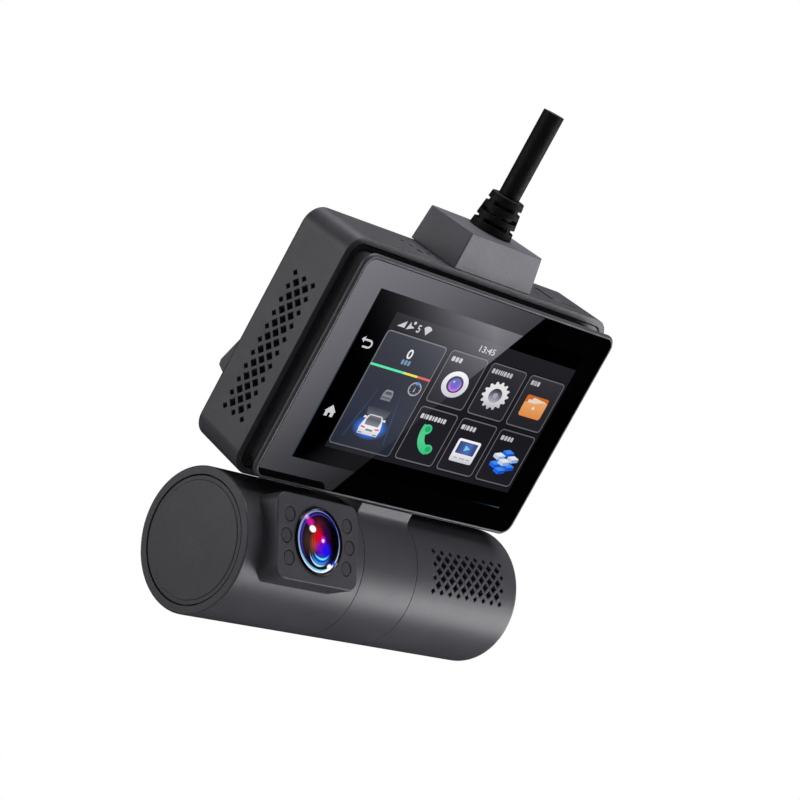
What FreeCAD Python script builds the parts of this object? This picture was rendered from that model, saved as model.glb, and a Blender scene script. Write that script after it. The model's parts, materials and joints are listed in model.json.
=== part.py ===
import FreeCAD, Part
import math
import os

# Dash camera: a touch-screen head that hangs from a windscreen mount, with a pitching camera
# and speaker barrel under it. Millimetres, +Z up, the driver looks along +Y.
# Sizes and places are given from the centre of the cover glass's front face. Every part is
# moved once, at the end, so that the origin is the centre of the adhesive pad's face.

V = FreeCAD.Vector
X, Y, Z = V(1, 0, 0), V(0, 1, 0), V(0, 0, 1)

# ---- clearances ----
FIT = 0.1            # between still pieces that slot together
RUN = 0.05           # radial, a shaft in its bush
SLIDE = 0.2          # a rail in its channel, a card in its socket
SEAM = 0.2           # the visible line between two shells
HAIR = 0.02          # between pieces that touch

# ---- screen ----
GLASS_W, GLASS_H, GLASS_R = 92.0, 56.0, 3.3      # outer edge of the trim rim
RIM_WIDTH = 0.8
RIM_DEPTH = 1.0
RIM_BEVEL, GLASS_BEVEL = 0.45, 0.15
GLASS_THICK = 0.9
PANEL_W, PANEL_H, PANEL_THICK = 70.4, 38.6, 2.0
PANEL_X = 4.2
PANEL_R, TRAY_R = 0.5, 0.8
TRAY_WALL = 0.6
TRAY_DEPTH = 1.5
BRACKET_THICK = 1.0
OPENING_INSET_W, OPENING_INSET_H, OPENING_R = 5.0, 4.5, 1.0
BRACKET_WINDOW_W, BRACKET_WINDOW_H = 20.0, 12.0   # half sizes

# ---- head shell ----
HEAD_OVERHANG = 1.4                               # shell edge beyond the rim, sideways
HEAD_OVERHANG_Z = 1.75                            # the same, up and down
HEAD_R = 4.9
HEAD_FRONT_Y, HEAD_DEPTH = 5.3, 16.2
HEAD_WALL = 1.6
HEAD_DRAFT = 1.1                                  # rise of the underside towards the rear
BEZEL_FLOOR_Y = 5.55
BEZEL_FLANGE = 1.5
BEZEL_SPIGOT = 2.4
BEZEL_WAIST = 2.7                                 # how far the flare draws in from the shell edge
BEZEL_TIERS, BEZEL_LAP = 5, 0.15                  # steps of the flare, its reach past the rim
HEAD_REAR_FILLET, HEAD_R_LEAST = 0.8, 0.5
POST_FRONT_L, POST_GAP, POST_ROOT = 4.5, 0.1, 0.5  # bezel posts, their gap to the shell posts
SCREW_SUNK, CROSS_HALF, CROSS_W, CROSS_DEPTH = 0.3, 0.9, 0.18, 0.3
POST_R, POST_INSET = 2.2, 5.6
SCREW_R, SCREW_HEAD_R, SCREW_HEAD = 0.9, 1.6, 1.2

# ---- main board and what it carries ----
BOARD_Y, BOARD_THICK = 8.4, 1.2
BOARD_INSET_W, BOARD_INSET_H = 15.0, 10.0         # how much smaller the board is than the screen
BOARD_W, BOARD_H = GLASS_W - BOARD_INSET_W, GLASS_H - BOARD_INSET_H
PILLAR_R, PILLAR_INSET_X, PILLAR_INSET_Z = 1.8, 3.5, 4.0
PILLAR_X, PILLAR_Z = BOARD_W / 2 - PILLAR_INSET_X, BOARD_H / 2 - PILLAR_INSET_Z
PILLAR_BORE, BOARD_SCREW_R, BOARD_SCREW_HEAD_R, BOARD_SCREW_HEAD, BOARD_SCREW_BITE = 0.7, 0.68, 1.5, 0.9, 2.5
BOARD_HOLE_R, BOARD_R = 1.0, 1.5
CHIP = 12.0
CHIP_THICK = 1.2
SINK_W, SINK_H, SINK_DEPTH, SINK_FINS = 26.0, 18.0, 5.0, 7
SINK_X, SINK_Z, SINK_BASE, SINK_FIN = 9.0, 7.0, 1.2, 1.0
CELL_R, CELL_L = 3.9, 20.0
CELL_X, CELL_Z, CELL_GAP = -9.0, -10.5, 0.3
GPS = 14.0
GPS_THICK = 3.6
MIC_W, MIC_D, MIC_H = 2.0, 1.5, 1.2               # half width, half depth, height
MESH_THICK = 0.3

# ---- side vent and top face ----
VENT_PITCH_Y, VENT_PITCH_Z = 3.31, 3.37
VENT_Y, VENT_TOP_Z = 12.28, 14.81
VENT_COLUMNS, VENT_ROWS = 3, 11
VENT_HOLE, VENT_HOLE_SMALL = 1.65, 1.15
MIC_HOLES = [(-22.5, 14.9, 0.5), (-21.1, 13.1, 0.65), (-20.5, 10.5, 0.9), (-17.1, 10.8, 0.7),
             (-16.1, 8.7, 0.5)]
TOP_DOTS = [(27.2, 14.8, 0.4), (23.2, 11.2, 0.4), (22.7, 10.1, 0.4), (22.1, 8.9, 0.4), (25.3, 9.1, 0.3),
            (26.2, 8.7, 0.3)]
BUTTON_X, BUTTON_Y = 34.9, 11.2
BUTTON_L, BUTTON_W, BUTTON_PROUD, BUTTON_TRAVEL = 7.4, 2.8, 0.15, 0.4
BUTTON_LIP = 0.7
BUTTON_GAP = 0.2                                  # round the button, in the roof
BUTTON_FOOT, BUTTON_LIP_THICK, BUTTON_EDGE = 0.5, 0.7, 0.25
SWITCH_DROP = 2.0                                 # from the roof's inside to the switch, pressed
STEM_R, PLUNGER_R, PLUNGER_WELL_R, PLUNGER_L = 0.7, 0.75, 0.85, 1.2
SWITCH_REACH = 2.0                                # how far the switch stands over the board's edge
SLOT_X, SLOT_Y, SLOT_L, SLOT_W, SLOT_DEPTH = 29.0, 13.2, 6.4, 1.7, 0.9

# ---- road camera ----
BUMP_X, BUMP_W = -32.0, 28.8
BUMP_TOP, BUMP_TIP, BUMP_FOOT = -3.8, -11.6, -13.9
BUMP_PROUD = 2.9
ROAD_R, ROAD_X, ROAD_Z = 5.0, -31.0, -8.2
ROAD_GLASS = 0.9
ROAD_BORE_R = 2.6                                 # of the road camera's lens barrel
ROAD_MOUTH, ROAD_LIP, ROAD_BULGE_R, ROAD_GLASS_L = 1.6, 0.7, 4.2, 3.0
ROAD_PROUD, ROAD_SUNK = 0.9, 0.8                  # barrel beyond the rear face, glass behind it
ROAD_BOARD_W, ROAD_BOARD_H, ROAD_BOARD_THICK = 7.0, 6.5, 1.1

# ---- memory card ----
CARD_W, CARD_L, CARD_THICK = 11.0, 15.0, 0.9
CARD_Z, CARD_PROUD = -6.0, 0.4
SOCKET_WALL = 0.5
FINGER_R, FINGER_OUT = 6.0, 5.2                   # the scoop beside the card slot
CARD_R, CARD_NOTCH, CARD_NOTCH_AT, CARD_NOTCH_DEPTH = 0.9, 1.2, 6.0, 0.7

# ---- camera and speaker barrels ----
BARREL_R, BARREL_WALL = 16.7, 1.8
BARREL_LEFT, BARREL_RIGHT = -47.5, 49.2
SADDLE_LEFT, SADDLE_RIGHT = -8.9, 10.0
BARREL_GAP = 1.0                                  # under the head's lowest edge
PITCH = 37.2                                      # the lens looks up by this much at rest
DISC_R_INSET, DISC_THICK, DISC_STEP, DISC_GAP = 2.3, 1.6, 0.2, 0.35
RIGHT_EDGE_R = 1.6
SHAFT_R, SHAFT_BORE = 6.0, 4.4
SHAFT_FLANGE_R, SHAFT_FLANGE = 9.0, 1.4
BUSH_WALL = 1.4
BUSH_PAST_WALL, GRIP_THICK, GRIP_W = 1.2, 2.0, 2.4
TIE_SCREW_BORE, TIE_SCREW_R, TIE_SCREW_HEAD_R, TIE_SCREW_HEAD, TIE_SCREW_L = 0.7, 0.68, 1.2, 0.8, 2.6
LOCK_RING, SHAFT_BEYOND = 1.6, 3.0
PILLAR_HALF = 2.4                                 # saddle pillars under the neck screws
NECK_FRONT_Y, NECK_REAR_Y, NECK_FILLET, NECK_INSET = 0.1, 15.5, 2.4, 0.4
NECK_PAD_R = 2.6                                  # the raised seat under each neck screw
NECK_PAD_ROOT, NECK_PAD_H = 0.4, 2.0              # sunk into the wall, height above it
NECK_SCREW_INSET = 3.6
WIRE_HOLE_R, HARNESS_R = 2.2, 1.6

# ---- cabin camera ----
BOSS_X, BOSS_W, BOSS_H, BOSS_R = -28.8, 26.6, 19.4, 2.7
BOSS_PROUD, BOSS_WALL, PLATE_THICK = 3.7, 1.0, 1.2
LENS_R, LENS_RING, LENS_PROUD, DOME_RISE = 7.65, 0.6, 0.5, 1.3
LENS_SEAT = 0.6                                   # the lens barrel inside the ring's outer edge
LENS_HOUSING_R, LENS_BACK = LENS_R - LENS_SEAT, 7.0
LED_R, LED_OUT, LED_MID_OUT, LED_UP = 1.7, 9.4, 10.4, 4.85
LED_SUNK, IR_BOARD_SET, IR_BOARD_THICK, EDGE_R = 0.08, 0.9, 1.0, 0.35
LENS_STEPS, LENS_STEP, LENS_STEP_L, LENS_MOUTH, LENS_LIP, LENS_PUPIL = 4, 0.9, 2.2, 3.2, 1.2, 2.0
INNER_GLASS, DOME_SKIRT, DOME_SEAT = 1.3, 1.0, 0.1

# ---- speaker ----
GRILLE_X, GRILLE_PITCH_X, GRILLE_PITCH_DEG = 29.5, 3.19, 5.53
GRILLE_COLUMNS, GRILLE_ROWS = 9, 7
GRILLE_HOLE, GRILLE_HOLE_SMALL = 1.6, 1.15
DRIVER_R, DRIVER_DEPTH = 9.5, 4.5
DRIVER_FRONT, DRIVER_WALL, DRIVER_PLATE, MAGNET_R, MAGNET_L = 11.0, 1.3, 0.8, 4.4, 3.4
CONE_SET, CONE_R, CONE_DEPTH, CONE_WALL = 0.4, 3.0, 2.4, 0.5

# ---- windscreen mount ----
BLOCK_LEFT, BLOCK_RIGHT, BLOCK_RIGHT_TOP = -13.3, 15.0, 12.6
BLOCK_FRONT_Y, BLOCK_H, BLOCK_LEAN, BLOCK_WALL = 5.45, 9.0, 0.9, 1.6
RAIL_W, RAIL_NECK_W, RAIL_THICK, RAIL_FRONT_Y = 16.0, 10.0, 1.5, 8.9
PAD_W, PAD_H, PAD_THICK = 24.0, 7.0, 0.9
PIN_R, PIN_PITCH, PIN_COUNT = 0.45, 2.5, 4
PIN_BACK = 5.0                                    # behind the rail's front end
BLOCK_EDGE_R, BASE_THICK, BOARD_LIFT, PAD_R = 0.3, 1.6, 3.0, 1.2
BLOCK_SCREW_INSET, BLOCK_SCREW_BORE, BLOCK_SCREW_R, BLOCK_SCREW_HEAD_R = 2.6, 0.8, 0.78, 1.4
CHANNEL_WALL, CHANNEL_BASE, CHANNEL_STOP = 1.6, 1.4, 0.6
TRACK_W, TRACK_DEPTH = 0.7, 0.3
GLAND_X, GLAND_Y = 1.9, 14.4
GLAND_R, GLAND_TOP_R, GLAND_H = 5.3, 4.1, 9.1
GLAND_SLOTS, GLAND_SLOT, GLAND_RIB = 3, 0.95, 1.3
CABLE_R, CABLE_TOP_Z = 2.6, 69.7
CORE_R, CORE_RING = 0.65, 1.15

# ---- places that follow from the sizes ----
HEAD_REAR_Y = HEAD_FRONT_Y + HEAD_DEPTH
HEAD_HALF_W = GLASS_W / 2 + HEAD_OVERHANG
HEAD_HALF_H = GLASS_H / 2 + HEAD_OVERHANG_Z
HEAD_IN_W = HEAD_HALF_W - HEAD_WALL
HEAD_IN_H = HEAD_HALF_H - HEAD_WALL
HEAD_IN_REAR = HEAD_REAR_Y - HEAD_WALL
BEZEL_BACK_Y = BEZEL_FLOOR_Y + BEZEL_SPIGOT
OPENING_HALF_W = GLASS_W / 2 - OPENING_INSET_W
OPENING_HALF_H = GLASS_H / 2 - OPENING_INSET_H
PANEL_Y = 2 * HAIR + GLASS_THICK + FIT
TRAY_Y = PANEL_Y + PANEL_THICK + HAIR
BRACKET_Y = TRAY_Y + TRAY_DEPTH + HAIR
BOARD_BACK_Y = BOARD_Y + BOARD_THICK
BARREL_Y = HEAD_REAR_Y - BARREL_R
BARREL_Z = -HEAD_HALF_H - BARREL_GAP - BARREL_R
BARREL_IN_R = BARREL_R - BARREL_WALL
PLATE_FRONT = BARREL_R + BOSS_PROUD
PLATE_BACK = PLATE_FRONT - PLATE_THICK
LENS_FRONT = PLATE_BACK - HAIR
NECK_BOLT_Y = BEZEL_BACK_Y + NECK_PAD_R + 0.2
NECK_PAD_Z = -HEAD_IN_H + NECK_PAD_H
ROOF_IN = HEAD_IN_H
BLOCK_BOTTOM = HEAD_HALF_H + FIT
BLOCK_TOP = BLOCK_BOTTOM + BLOCK_H
RAIL_TOP = ROOF_IN - SLIDE
RAIL_BOTTOM = RAIL_TOP - RAIL_THICK
CHANNEL_FLOOR = RAIL_BOTTOM - SLIDE
RAIL_REAR_Y = HEAD_REAR_Y - SLIDE
LEAN_ANGLE = math.degrees(math.atan(BLOCK_LEAN / BLOCK_H))
PAD_BACK_Y = HEAD_REAR_Y - BLOCK_LEAN / 2
PAD_Z = BLOCK_BOTTOM + BLOCK_H / 2
PAD_NORMAL = V(0, math.cos(math.radians(LEAN_ANGLE)), math.sin(math.radians(LEAN_ANGLE)))
ORIGIN = V(0, PAD_BACK_Y, PAD_Z) + PAD_NORMAL * PAD_THICK


# ---- shape helpers ----
def box(x0, x1, y0, y1, z0, z1):
    return Part.makeBox(x1 - x0, y1 - y0, z1 - z0, V(x0, y0, z0))


def rod(radius, start, axis, length):
    return Part.makeCylinder(radius, length, start, axis)


def ring(outer, inner, start, axis, length):
    overrun = axis * 1.0
    return rod(outer, start, axis, length).cut(rod(inner, start - overrun, axis, length + 2))


def join(first, *others):
    return first.fuse(list(others)).removeSplitter()


def group(shapes):
    return Part.makeCompound(shapes)


def polygon(points):
    return Part.Face(Part.makePolygon(points + [points[0]]))


def rounded_wire(half_w, half_h, radius, y, x=0.0, z=0.0, foot_rise=0.0):
    """A rounded rectangle facing the driver. foot_rise lifts its lower side only."""
    left, right = x - half_w, x + half_w
    foot, top = z - half_h + foot_rise, z + half_h
    k = radius * (1 - math.sqrt(0.5))
    p = [V(left + radius, y, foot), V(right - radius, y, foot), V(right, y, foot + radius),
         V(right, y, top - radius), V(right - radius, y, top), V(left + radius, y, top),
         V(left, y, top - radius), V(left, y, foot + radius)]
    mids = [V(right - k, y, foot + k), V(right - k, y, top - k), V(left + k, y, top - k),
            V(left + k, y, foot + k)]
    edges = []
    for i in range(4):
        edges.append(Part.LineSegment(p[2 * i], p[2 * i + 1]).toShape())
        edges.append(Part.Arc(p[2 * i + 1], mids[i], p[(2 * i + 2) % 8]).toShape())
    return Part.Wire(edges)


def rounded_block(half_w, half_h, radius, y0, y1, x=0.0, z=0.0):
    face = Part.Face(rounded_wire(half_w, half_h, radius, y0, x, z))
    return face.extrude(V(0, y1 - y0, 0))


def soften(shape, size, picked):
    """Fillets the edges for which picked(edge) is true."""
    return shape.makeFillet(size, [e for e in shape.Edges if picked(e)])


def lies_at(edge, axis, value, slack=1e-4):
    box_ = edge.BoundBox
    low = (box_.XMin, box_.YMin, box_.ZMin)[axis]
    high = (box_.XMax, box_.YMax, box_.ZMax)[axis]
    return abs(low - value) < slack and abs(high - value) < slack


def diamond(side, depth, centre, axis):
    """A square bar on its corner, along an axis, to cut one grille hole."""
    half = side / math.sqrt(2)
    across = Y if abs(axis.x) > 0.5 else X
    up = axis.cross(across)
    corners = [centre + across * half, centre + up * half, centre - across * half, centre - up * half]
    return polygon(corners).extrude(axis * depth)


def pitched(shape):
    """From the barrel's own frame, lens along -Y and axis at the origin, to its place."""
    turned = shape.copy()
    turned.rotate(V(0, 0, 0), X, -PITCH)
    turned.translate(V(0, BARREL_Y, BARREL_Z))
    return turned


# ---- screen stack ----
def screen_rim():
    half_w, half_h = GLASS_W / 2, GLASS_H / 2
    rim = rounded_block(half_w, half_h, GLASS_R, 0, RIM_DEPTH)
    rim = rim.makeChamfer(RIM_BEVEL, [e for e in rim.Edges if lies_at(e, 1, 0)])
    inner = rounded_block(half_w - RIM_WIDTH, half_h - RIM_WIDTH, GLASS_R - RIM_WIDTH, -1, RIM_DEPTH + 1)
    return rim.cut(inner)


def cover_glass():
    inset = RIM_WIDTH + FIT / 2
    glass = rounded_block(GLASS_W / 2 - inset, GLASS_H / 2 - inset, GLASS_R - inset, HAIR,
                          HAIR + GLASS_THICK)
    return glass.makeChamfer(GLASS_BEVEL, [e for e in glass.Edges if lies_at(e, 1, HAIR)])


def display_panel():
    return rounded_block(PANEL_W / 2, PANEL_H / 2, PANEL_R, PANEL_Y, PANEL_Y + PANEL_THICK, PANEL_X)


def backlight_tray():
    half_w, half_h = PANEL_W / 2 + TRAY_WALL, PANEL_H / 2 + TRAY_WALL
    return rounded_block(half_w, half_h, TRAY_R, TRAY_Y, TRAY_Y + TRAY_DEPTH, PANEL_X)


def bezel_ring(y0, y1, inset0, inset1):
    """One tier of the flare: a ruled ring between two outlines, inset from the shell edge."""
    outlines = []
    for y, inset in ((y0, inset0), (y1, inset1)):
        rise = HEAD_OVERHANG_Z - HEAD_OVERHANG
        radius = HEAD_R - inset * 0.6
        outlines.append(rounded_wire(HEAD_HALF_W - inset, HEAD_HALF_H - inset - rise, radius, y))
    return Part.makeLoft(outlines, True, True)


def front_bezel():
    rim_inset = HEAD_OVERHANG + BEZEL_LAP
    depth = BEZEL_FLOOR_Y - RIM_DEPTH
    solids = []
    for i in range(BEZEL_TIERS):
        t0, t1 = i / BEZEL_TIERS, (i + 1) / BEZEL_TIERS
        insets = [rim_inset + (BEZEL_WAIST - rim_inset) * math.sin(t * math.pi / 2) for t in (t0, t1)]
        solids.append(bezel_ring(RIM_DEPTH + HAIR + depth * t0, RIM_DEPTH + HAIR + depth * t1,
                                 insets[0], insets[1]))
    spigot_w, spigot_h = HEAD_IN_W - FIT, HEAD_IN_H - FIT - HEAD_DRAFT * BEZEL_SPIGOT / HEAD_DEPTH
    spigot = rounded_block(spigot_w, spigot_h, HEAD_R - HEAD_WALL, BEZEL_FLOOR_Y + HAIR, BEZEL_BACK_Y)
    body = join(solids[0], *(solids[1:] + [spigot]))
    body = body.cut(rounded_block(OPENING_HALF_W, OPENING_HALF_H, OPENING_R, -1, BEZEL_BACK_Y + 1))
    ledge_y = HAIR * 2 + GLASS_THICK
    posts = [rod(POST_R, V(x, BEZEL_BACK_Y - POST_ROOT, z), Y, POST_FRONT_L) for x, z in post_places()]
    body = join(body, *posts)
    holes = [rod(SCREW_R, V(x, ledge_y + 2.5, z), Y, 20) for x, z in post_places()]
    return body.cut(group(holes))


def post_places():
    x, z = HEAD_HALF_W - POST_INSET, HEAD_HALF_H - POST_INSET
    return [(sx * x, sz * z) for sx in (-1, 1) for sz in (-1, 1)]


def pillar_places():
    return [(sx * PILLAR_X, sz * PILLAR_Z) for sx in (-1, 1) for sz in (-1, 1)]


def screen_bracket():
    gap = FIT * 3
    plate = rounded_block(OPENING_HALF_W - gap, OPENING_HALF_H - gap, OPENING_R, BRACKET_Y,
                          BRACKET_Y + BRACKET_THICK)
    window = box(PANEL_X - BRACKET_WINDOW_W, PANEL_X + BRACKET_WINDOW_W, BRACKET_Y - 1, BRACKET_Y + 2,
                 -BRACKET_WINDOW_H, BRACKET_WINDOW_H)
    pillars = [rod(PILLAR_R, V(x, BRACKET_Y, z), Y, BOARD_Y - BRACKET_Y) for x, z in pillar_places()]
    holes = [rod(PILLAR_BORE, V(x, BRACKET_Y - 1, z), Y, 20) for x, z in pillar_places()]
    return join(plate.cut(window), *pillars).cut(group(holes))


# ---- rear shell ----
def head_solid(inset, y0, y1):
    """The drafted outline of the head, drawn in by inset, between two depths."""
    wires = []
    for y in (y0, y1):
        rise = HEAD_DRAFT * (y - HEAD_FRONT_Y) / HEAD_DEPTH
        half_w, half_h = HEAD_HALF_W - inset, HEAD_HALF_H - inset
        wires.append(rounded_wire(half_w, half_h, max(HEAD_R - inset, HEAD_R_LEAST), y, foot_rise=rise))
    return Part.makeLoft(wires, True, True)


def vent_holes():
    cutters = []
    middle = (VENT_COLUMNS - 1) / 2
    for row in range(VENT_ROWS):
        for column in range(VENT_COLUMNS):
            edge = row in (0, VENT_ROWS - 1) or column in (0, VENT_COLUMNS - 1)
            side = VENT_HOLE_SMALL if edge else VENT_HOLE
            y = VENT_Y + (column - middle) * VENT_PITCH_Y
            cutters.append(diamond(side, HEAD_WALL + 2,
                                   V(-HEAD_HALF_W - 1, y, VENT_TOP_Z - row * VENT_PITCH_Z), X))
    for row in range(VENT_ROWS - 1):
        for column in range(VENT_COLUMNS - 1):
            y = VENT_Y + (column - middle + 0.5) * VENT_PITCH_Y
            z = VENT_TOP_Z - (row + 0.5) * VENT_PITCH_Z
            cutters.append(diamond(VENT_HOLE, HEAD_WALL + 2, V(-HEAD_HALF_W - 1, y, z), X))
    return cutters


def pill(length, width, z0, z1):
    r = width / 2
    half = length / 2 - r
    body = box(BUTTON_X - half, BUTTON_X + half, BUTTON_Y - r, BUTTON_Y + r, z0, z1)
    ends = [rod(r, V(BUTTON_X + s * half, BUTTON_Y, z0), Z, z1 - z0) for s in (-1, 1)]
    return join(body, *ends)


def top_cuts():
    top = HEAD_HALF_H
    low = top - HEAD_WALL - 1
    cutters = [rod(r, V(x, y, low), Z, HEAD_WALL + 3) for x, y, r in MIC_HOLES]
    cutters.append(pill(BUTTON_L + 2 * BUTTON_GAP, BUTTON_W + 2 * BUTTON_GAP, low, top + 1))
    deep = top - SLOT_DEPTH
    cutters += [rod(r, V(x, y, deep), Z, SLOT_DEPTH + 1) for x, y, r in TOP_DOTS]
    half_w, half_l = SLOT_W / 2, SLOT_L / 2
    cutters.append(box(SLOT_X - half_w, SLOT_X + half_w, SLOT_Y - half_l, SLOT_Y + half_l, deep, top + 1))
    neck = RAIL_NECK_W / 2 + SLIDE
    cutters.append(box(-neck, neck, RAIL_FRONT_Y - SLIDE, HEAD_REAR_Y + 1, ROOF_IN - 1, top + 1))
    wide = RAIL_W / 2 + SLIDE
    cutters.append(box(-wide, wide, HEAD_IN_REAR - 1, HEAD_REAR_Y + 1, CHANNEL_FLOOR, ROOF_IN))
    return cutters


def card_places():
    """y of the card's front face, z of its centre, x of its outer end."""
    return BOARD_BACK_Y + SOCKET_WALL + SLIDE, CARD_Z, HEAD_HALF_W + CARD_PROUD


def card_cut():
    y, z, _ = card_places()
    gap = SLIDE + 0.1
    slot = box(HEAD_IN_W - 1, HEAD_HALF_W + 2, y - gap, y + CARD_THICK + gap, z - CARD_W / 2 - gap,
               z + CARD_W / 2 + gap)
    finger = Part.makeSphere(FINGER_R, V(HEAD_HALF_W + FINGER_OUT, y + CARD_THICK / 2, z))
    return [slot, finger]


def neck_screw_places():
    middle = (SADDLE_LEFT + SADDLE_RIGHT) / 2
    spread = (SADDLE_RIGHT - SADDLE_LEFT) / 2 - NECK_SCREW_INSET
    return [(middle - spread, NECK_BOLT_Y), (middle + spread, NECK_BOLT_Y)]


def neck_wire_place():
    return (SADDLE_LEFT + SADDLE_RIGHT) / 2, NECK_BOLT_Y


def rear_shell():
    shell = head_solid(0, HEAD_FRONT_Y, HEAD_REAR_Y)
    shell = soften(shell, HEAD_REAR_FILLET, lambda e: lies_at(e, 1, HEAD_REAR_Y))
    shell = shell.cut(head_solid(HEAD_WALL, HEAD_FRONT_Y - 0.5, HEAD_IN_REAR))
    post_y = BEZEL_BACK_Y - POST_ROOT + POST_FRONT_L + POST_GAP
    posts = [rod(POST_R, V(x, post_y, z), Y, HEAD_REAR_Y - post_y - NECK_PAD_ROOT) for x, z in post_places()]
    pads = [rod(NECK_PAD_R, V(x, y, -HEAD_IN_H - NECK_PAD_ROOT), Z, NECK_PAD_H + NECK_PAD_ROOT)
            for x, y in neck_screw_places()]
    shell = join(shell, *(posts + pads))
    cutters = vent_holes() + top_cuts() + card_cut()
    for x, z in post_places():
        cutters.append(rod(SCREW_R + FIT, V(x, HEAD_FRONT_Y, z), Y, HEAD_DEPTH + 1))
        cutters.append(rod(SCREW_HEAD_R + FIT, V(x, HEAD_REAR_Y - SCREW_HEAD - SCREW_SUNK, z), Y, 5))
    for x, y in neck_screw_places():
        cutters.append(rod(SCREW_R + FIT, V(x, y, -HEAD_HALF_H - 2), Z, 12))
    wire_x, wire_y = neck_wire_place()
    cutters.append(rod(WIRE_HOLE_R, V(wire_x, wire_y, -HEAD_HALF_H - 2), Z, 5))
    cutters.append(rod(ROAD_R + FIT, V(ROAD_X, HEAD_IN_REAR - 1, ROAD_Z), Y, 10))
    return shell.cut(group(cutters))


def shell_screws():
    screws = []
    for x, z in post_places():
        head_y = HEAD_REAR_Y - SCREW_SUNK
        shank = rod(SCREW_R - HAIR, V(x, BEZEL_BACK_Y - 1, z), Y, head_y - BEZEL_BACK_Y)
        head = rod(SCREW_HEAD_R, V(x, head_y - SCREW_HEAD, z), Y, SCREW_HEAD)
        floor = head_y - 2 * CROSS_DEPTH
        cross = group([box(x - a, x + a, floor, head_y + 1, z - b, z + b)
                       for a, b in ((CROSS_HALF, CROSS_W), (CROSS_W, CROSS_HALF))])
        screws.append(join(shank, head).cut(cross))
    return group(screws)


# ---- electronics in the head ----
def main_board():
    board = rounded_block(BOARD_W / 2, BOARD_H / 2, BOARD_R, BOARD_Y, BOARD_BACK_Y)
    holes = [rod(BOARD_HOLE_R, V(x, BOARD_Y - 1, z), Y, 5) for x, z in pillar_places()]
    return board.cut(group(holes))


def board_screws():
    screws = []
    for x, z in pillar_places():
        shank = rod(BOARD_SCREW_R, V(x, BOARD_Y - BOARD_SCREW_BITE, z), Y,
                    BOARD_THICK + BOARD_SCREW_BITE + 2 * HAIR)
        head = rod(BOARD_SCREW_HEAD_R, V(x, BOARD_BACK_Y + HAIR, z), Y, BOARD_SCREW_HEAD)
        screws.append(join(shank, head))
    return group(screws)


def processor():
    y = BOARD_BACK_Y
    return box(SINK_X - CHIP / 2, SINK_X + CHIP / 2, y, y + CHIP_THICK, SINK_Z - CHIP / 2, SINK_Z + CHIP / 2)


def heat_sink():
    y = BOARD_BACK_Y + CHIP_THICK + HAIR
    base = box(SINK_X - SINK_W / 2, SINK_X + SINK_W / 2, y, y + SINK_BASE, SINK_Z - SINK_H / 2,
               SINK_Z + SINK_H / 2)
    fins = []
    step = (SINK_W - SINK_FIN) / (SINK_FINS - 1)
    for i in range(SINK_FINS):
        x = SINK_X - SINK_W / 2 + i * step
        fins.append(box(x, x + SINK_FIN, y + 1.0, y + SINK_DEPTH, SINK_Z - SINK_H / 2, SINK_Z + SINK_H / 2))
    return join(base, *fins)


def supercapacitors():
    y = BOARD_BACK_Y + CELL_R + HAIR
    return group([rod(CELL_R, V(CELL_X, y, z), X, CELL_L) for z in (CELL_Z, CELL_Z - 2 * CELL_R - CELL_GAP)])


def gps_antenna():
    x, z = MIC_HOLES[2][0] - 2.8 - GPS, HEAD_IN_H - GPS_THICK - 0.4
    y = BOARD_BACK_Y - 0.6
    return box(x, x + GPS, y, min(y + GPS, HEAD_IN_REAR - FIT), z, z + GPS_THICK)


def microphone():
    x, y, _ = MIC_HOLES[2]
    return box(x - MIC_W, x + MIC_W, y - MIC_D, y + MIC_D, HEAD_IN_H - MIC_H, HEAD_IN_H - HAIR)


def side_vent_mesh():
    x = -HEAD_IN_W + HAIR
    rear = VENT_Y + VENT_PITCH_Y * VENT_COLUMNS / 2
    top = VENT_TOP_Z + VENT_PITCH_Z
    foot = VENT_TOP_Z - VENT_PITCH_Z * VENT_ROWS
    return box(x, x + MESH_THICK, BEZEL_BACK_Y + FIT, rear, foot, top)


def card_socket():
    y, z, outer_x = card_places()
    inner_x = outer_x - CARD_L - 1.2
    y0, y1 = BOARD_BACK_Y + HAIR, y + CARD_THICK + SLIDE + SOCKET_WALL
    half = CARD_W / 2 + SLIDE + SOCKET_WALL
    body = box(inner_x, HEAD_IN_W - 0.6, y0, y1, z - half, z + half)
    room = CARD_W / 2 + SLIDE
    return body.cut(box(inner_x + 0.6, HEAD_IN_W + 1, y - SLIDE, y + CARD_THICK + SLIDE, z - room, z + room))


def memory_card():
    y, z, outer_x = card_places()
    card = box(outer_x - CARD_L, outer_x, y, y + CARD_THICK, z - CARD_W / 2, z + CARD_W / 2)
    card = soften(card, CARD_R, lambda e: lies_at(e, 0, outer_x) and e.Length < CARD_THICK + 0.01)
    notch_x = outer_x - CARD_L + CARD_NOTCH_AT
    notch = box(notch_x, notch_x + CARD_NOTCH, y - 1, y + 2, z + CARD_W / 2 - CARD_NOTCH_DEPTH, z + CARD_W)
    return card.cut(notch)


# ---- power button and switch ----
def power_button():
    top = HEAD_HALF_H + BUTTON_PROUD
    cap = pill(BUTTON_L, BUTTON_W, ROOF_IN - BUTTON_FOOT, top)
    cap = soften(cap, BUTTON_EDGE, lambda e: lies_at(e, 2, top))
    lip_z = ROOF_IN - FIT - BUTTON_LIP_THICK
    lip = pill(BUTTON_L + 2 * BUTTON_LIP, BUTTON_W + 2 * BUTTON_LIP, lip_z, ROOF_IN - FIT)
    stem = rod(STEM_R, V(BUTTON_X, BUTTON_Y, switch_top() + FIT), Z, lip_z - switch_top() - FIT)
    return join(cap, lip, stem)


def switch_top():
    return ROOF_IN - SWITCH_DROP - BUTTON_TRAVEL


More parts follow.
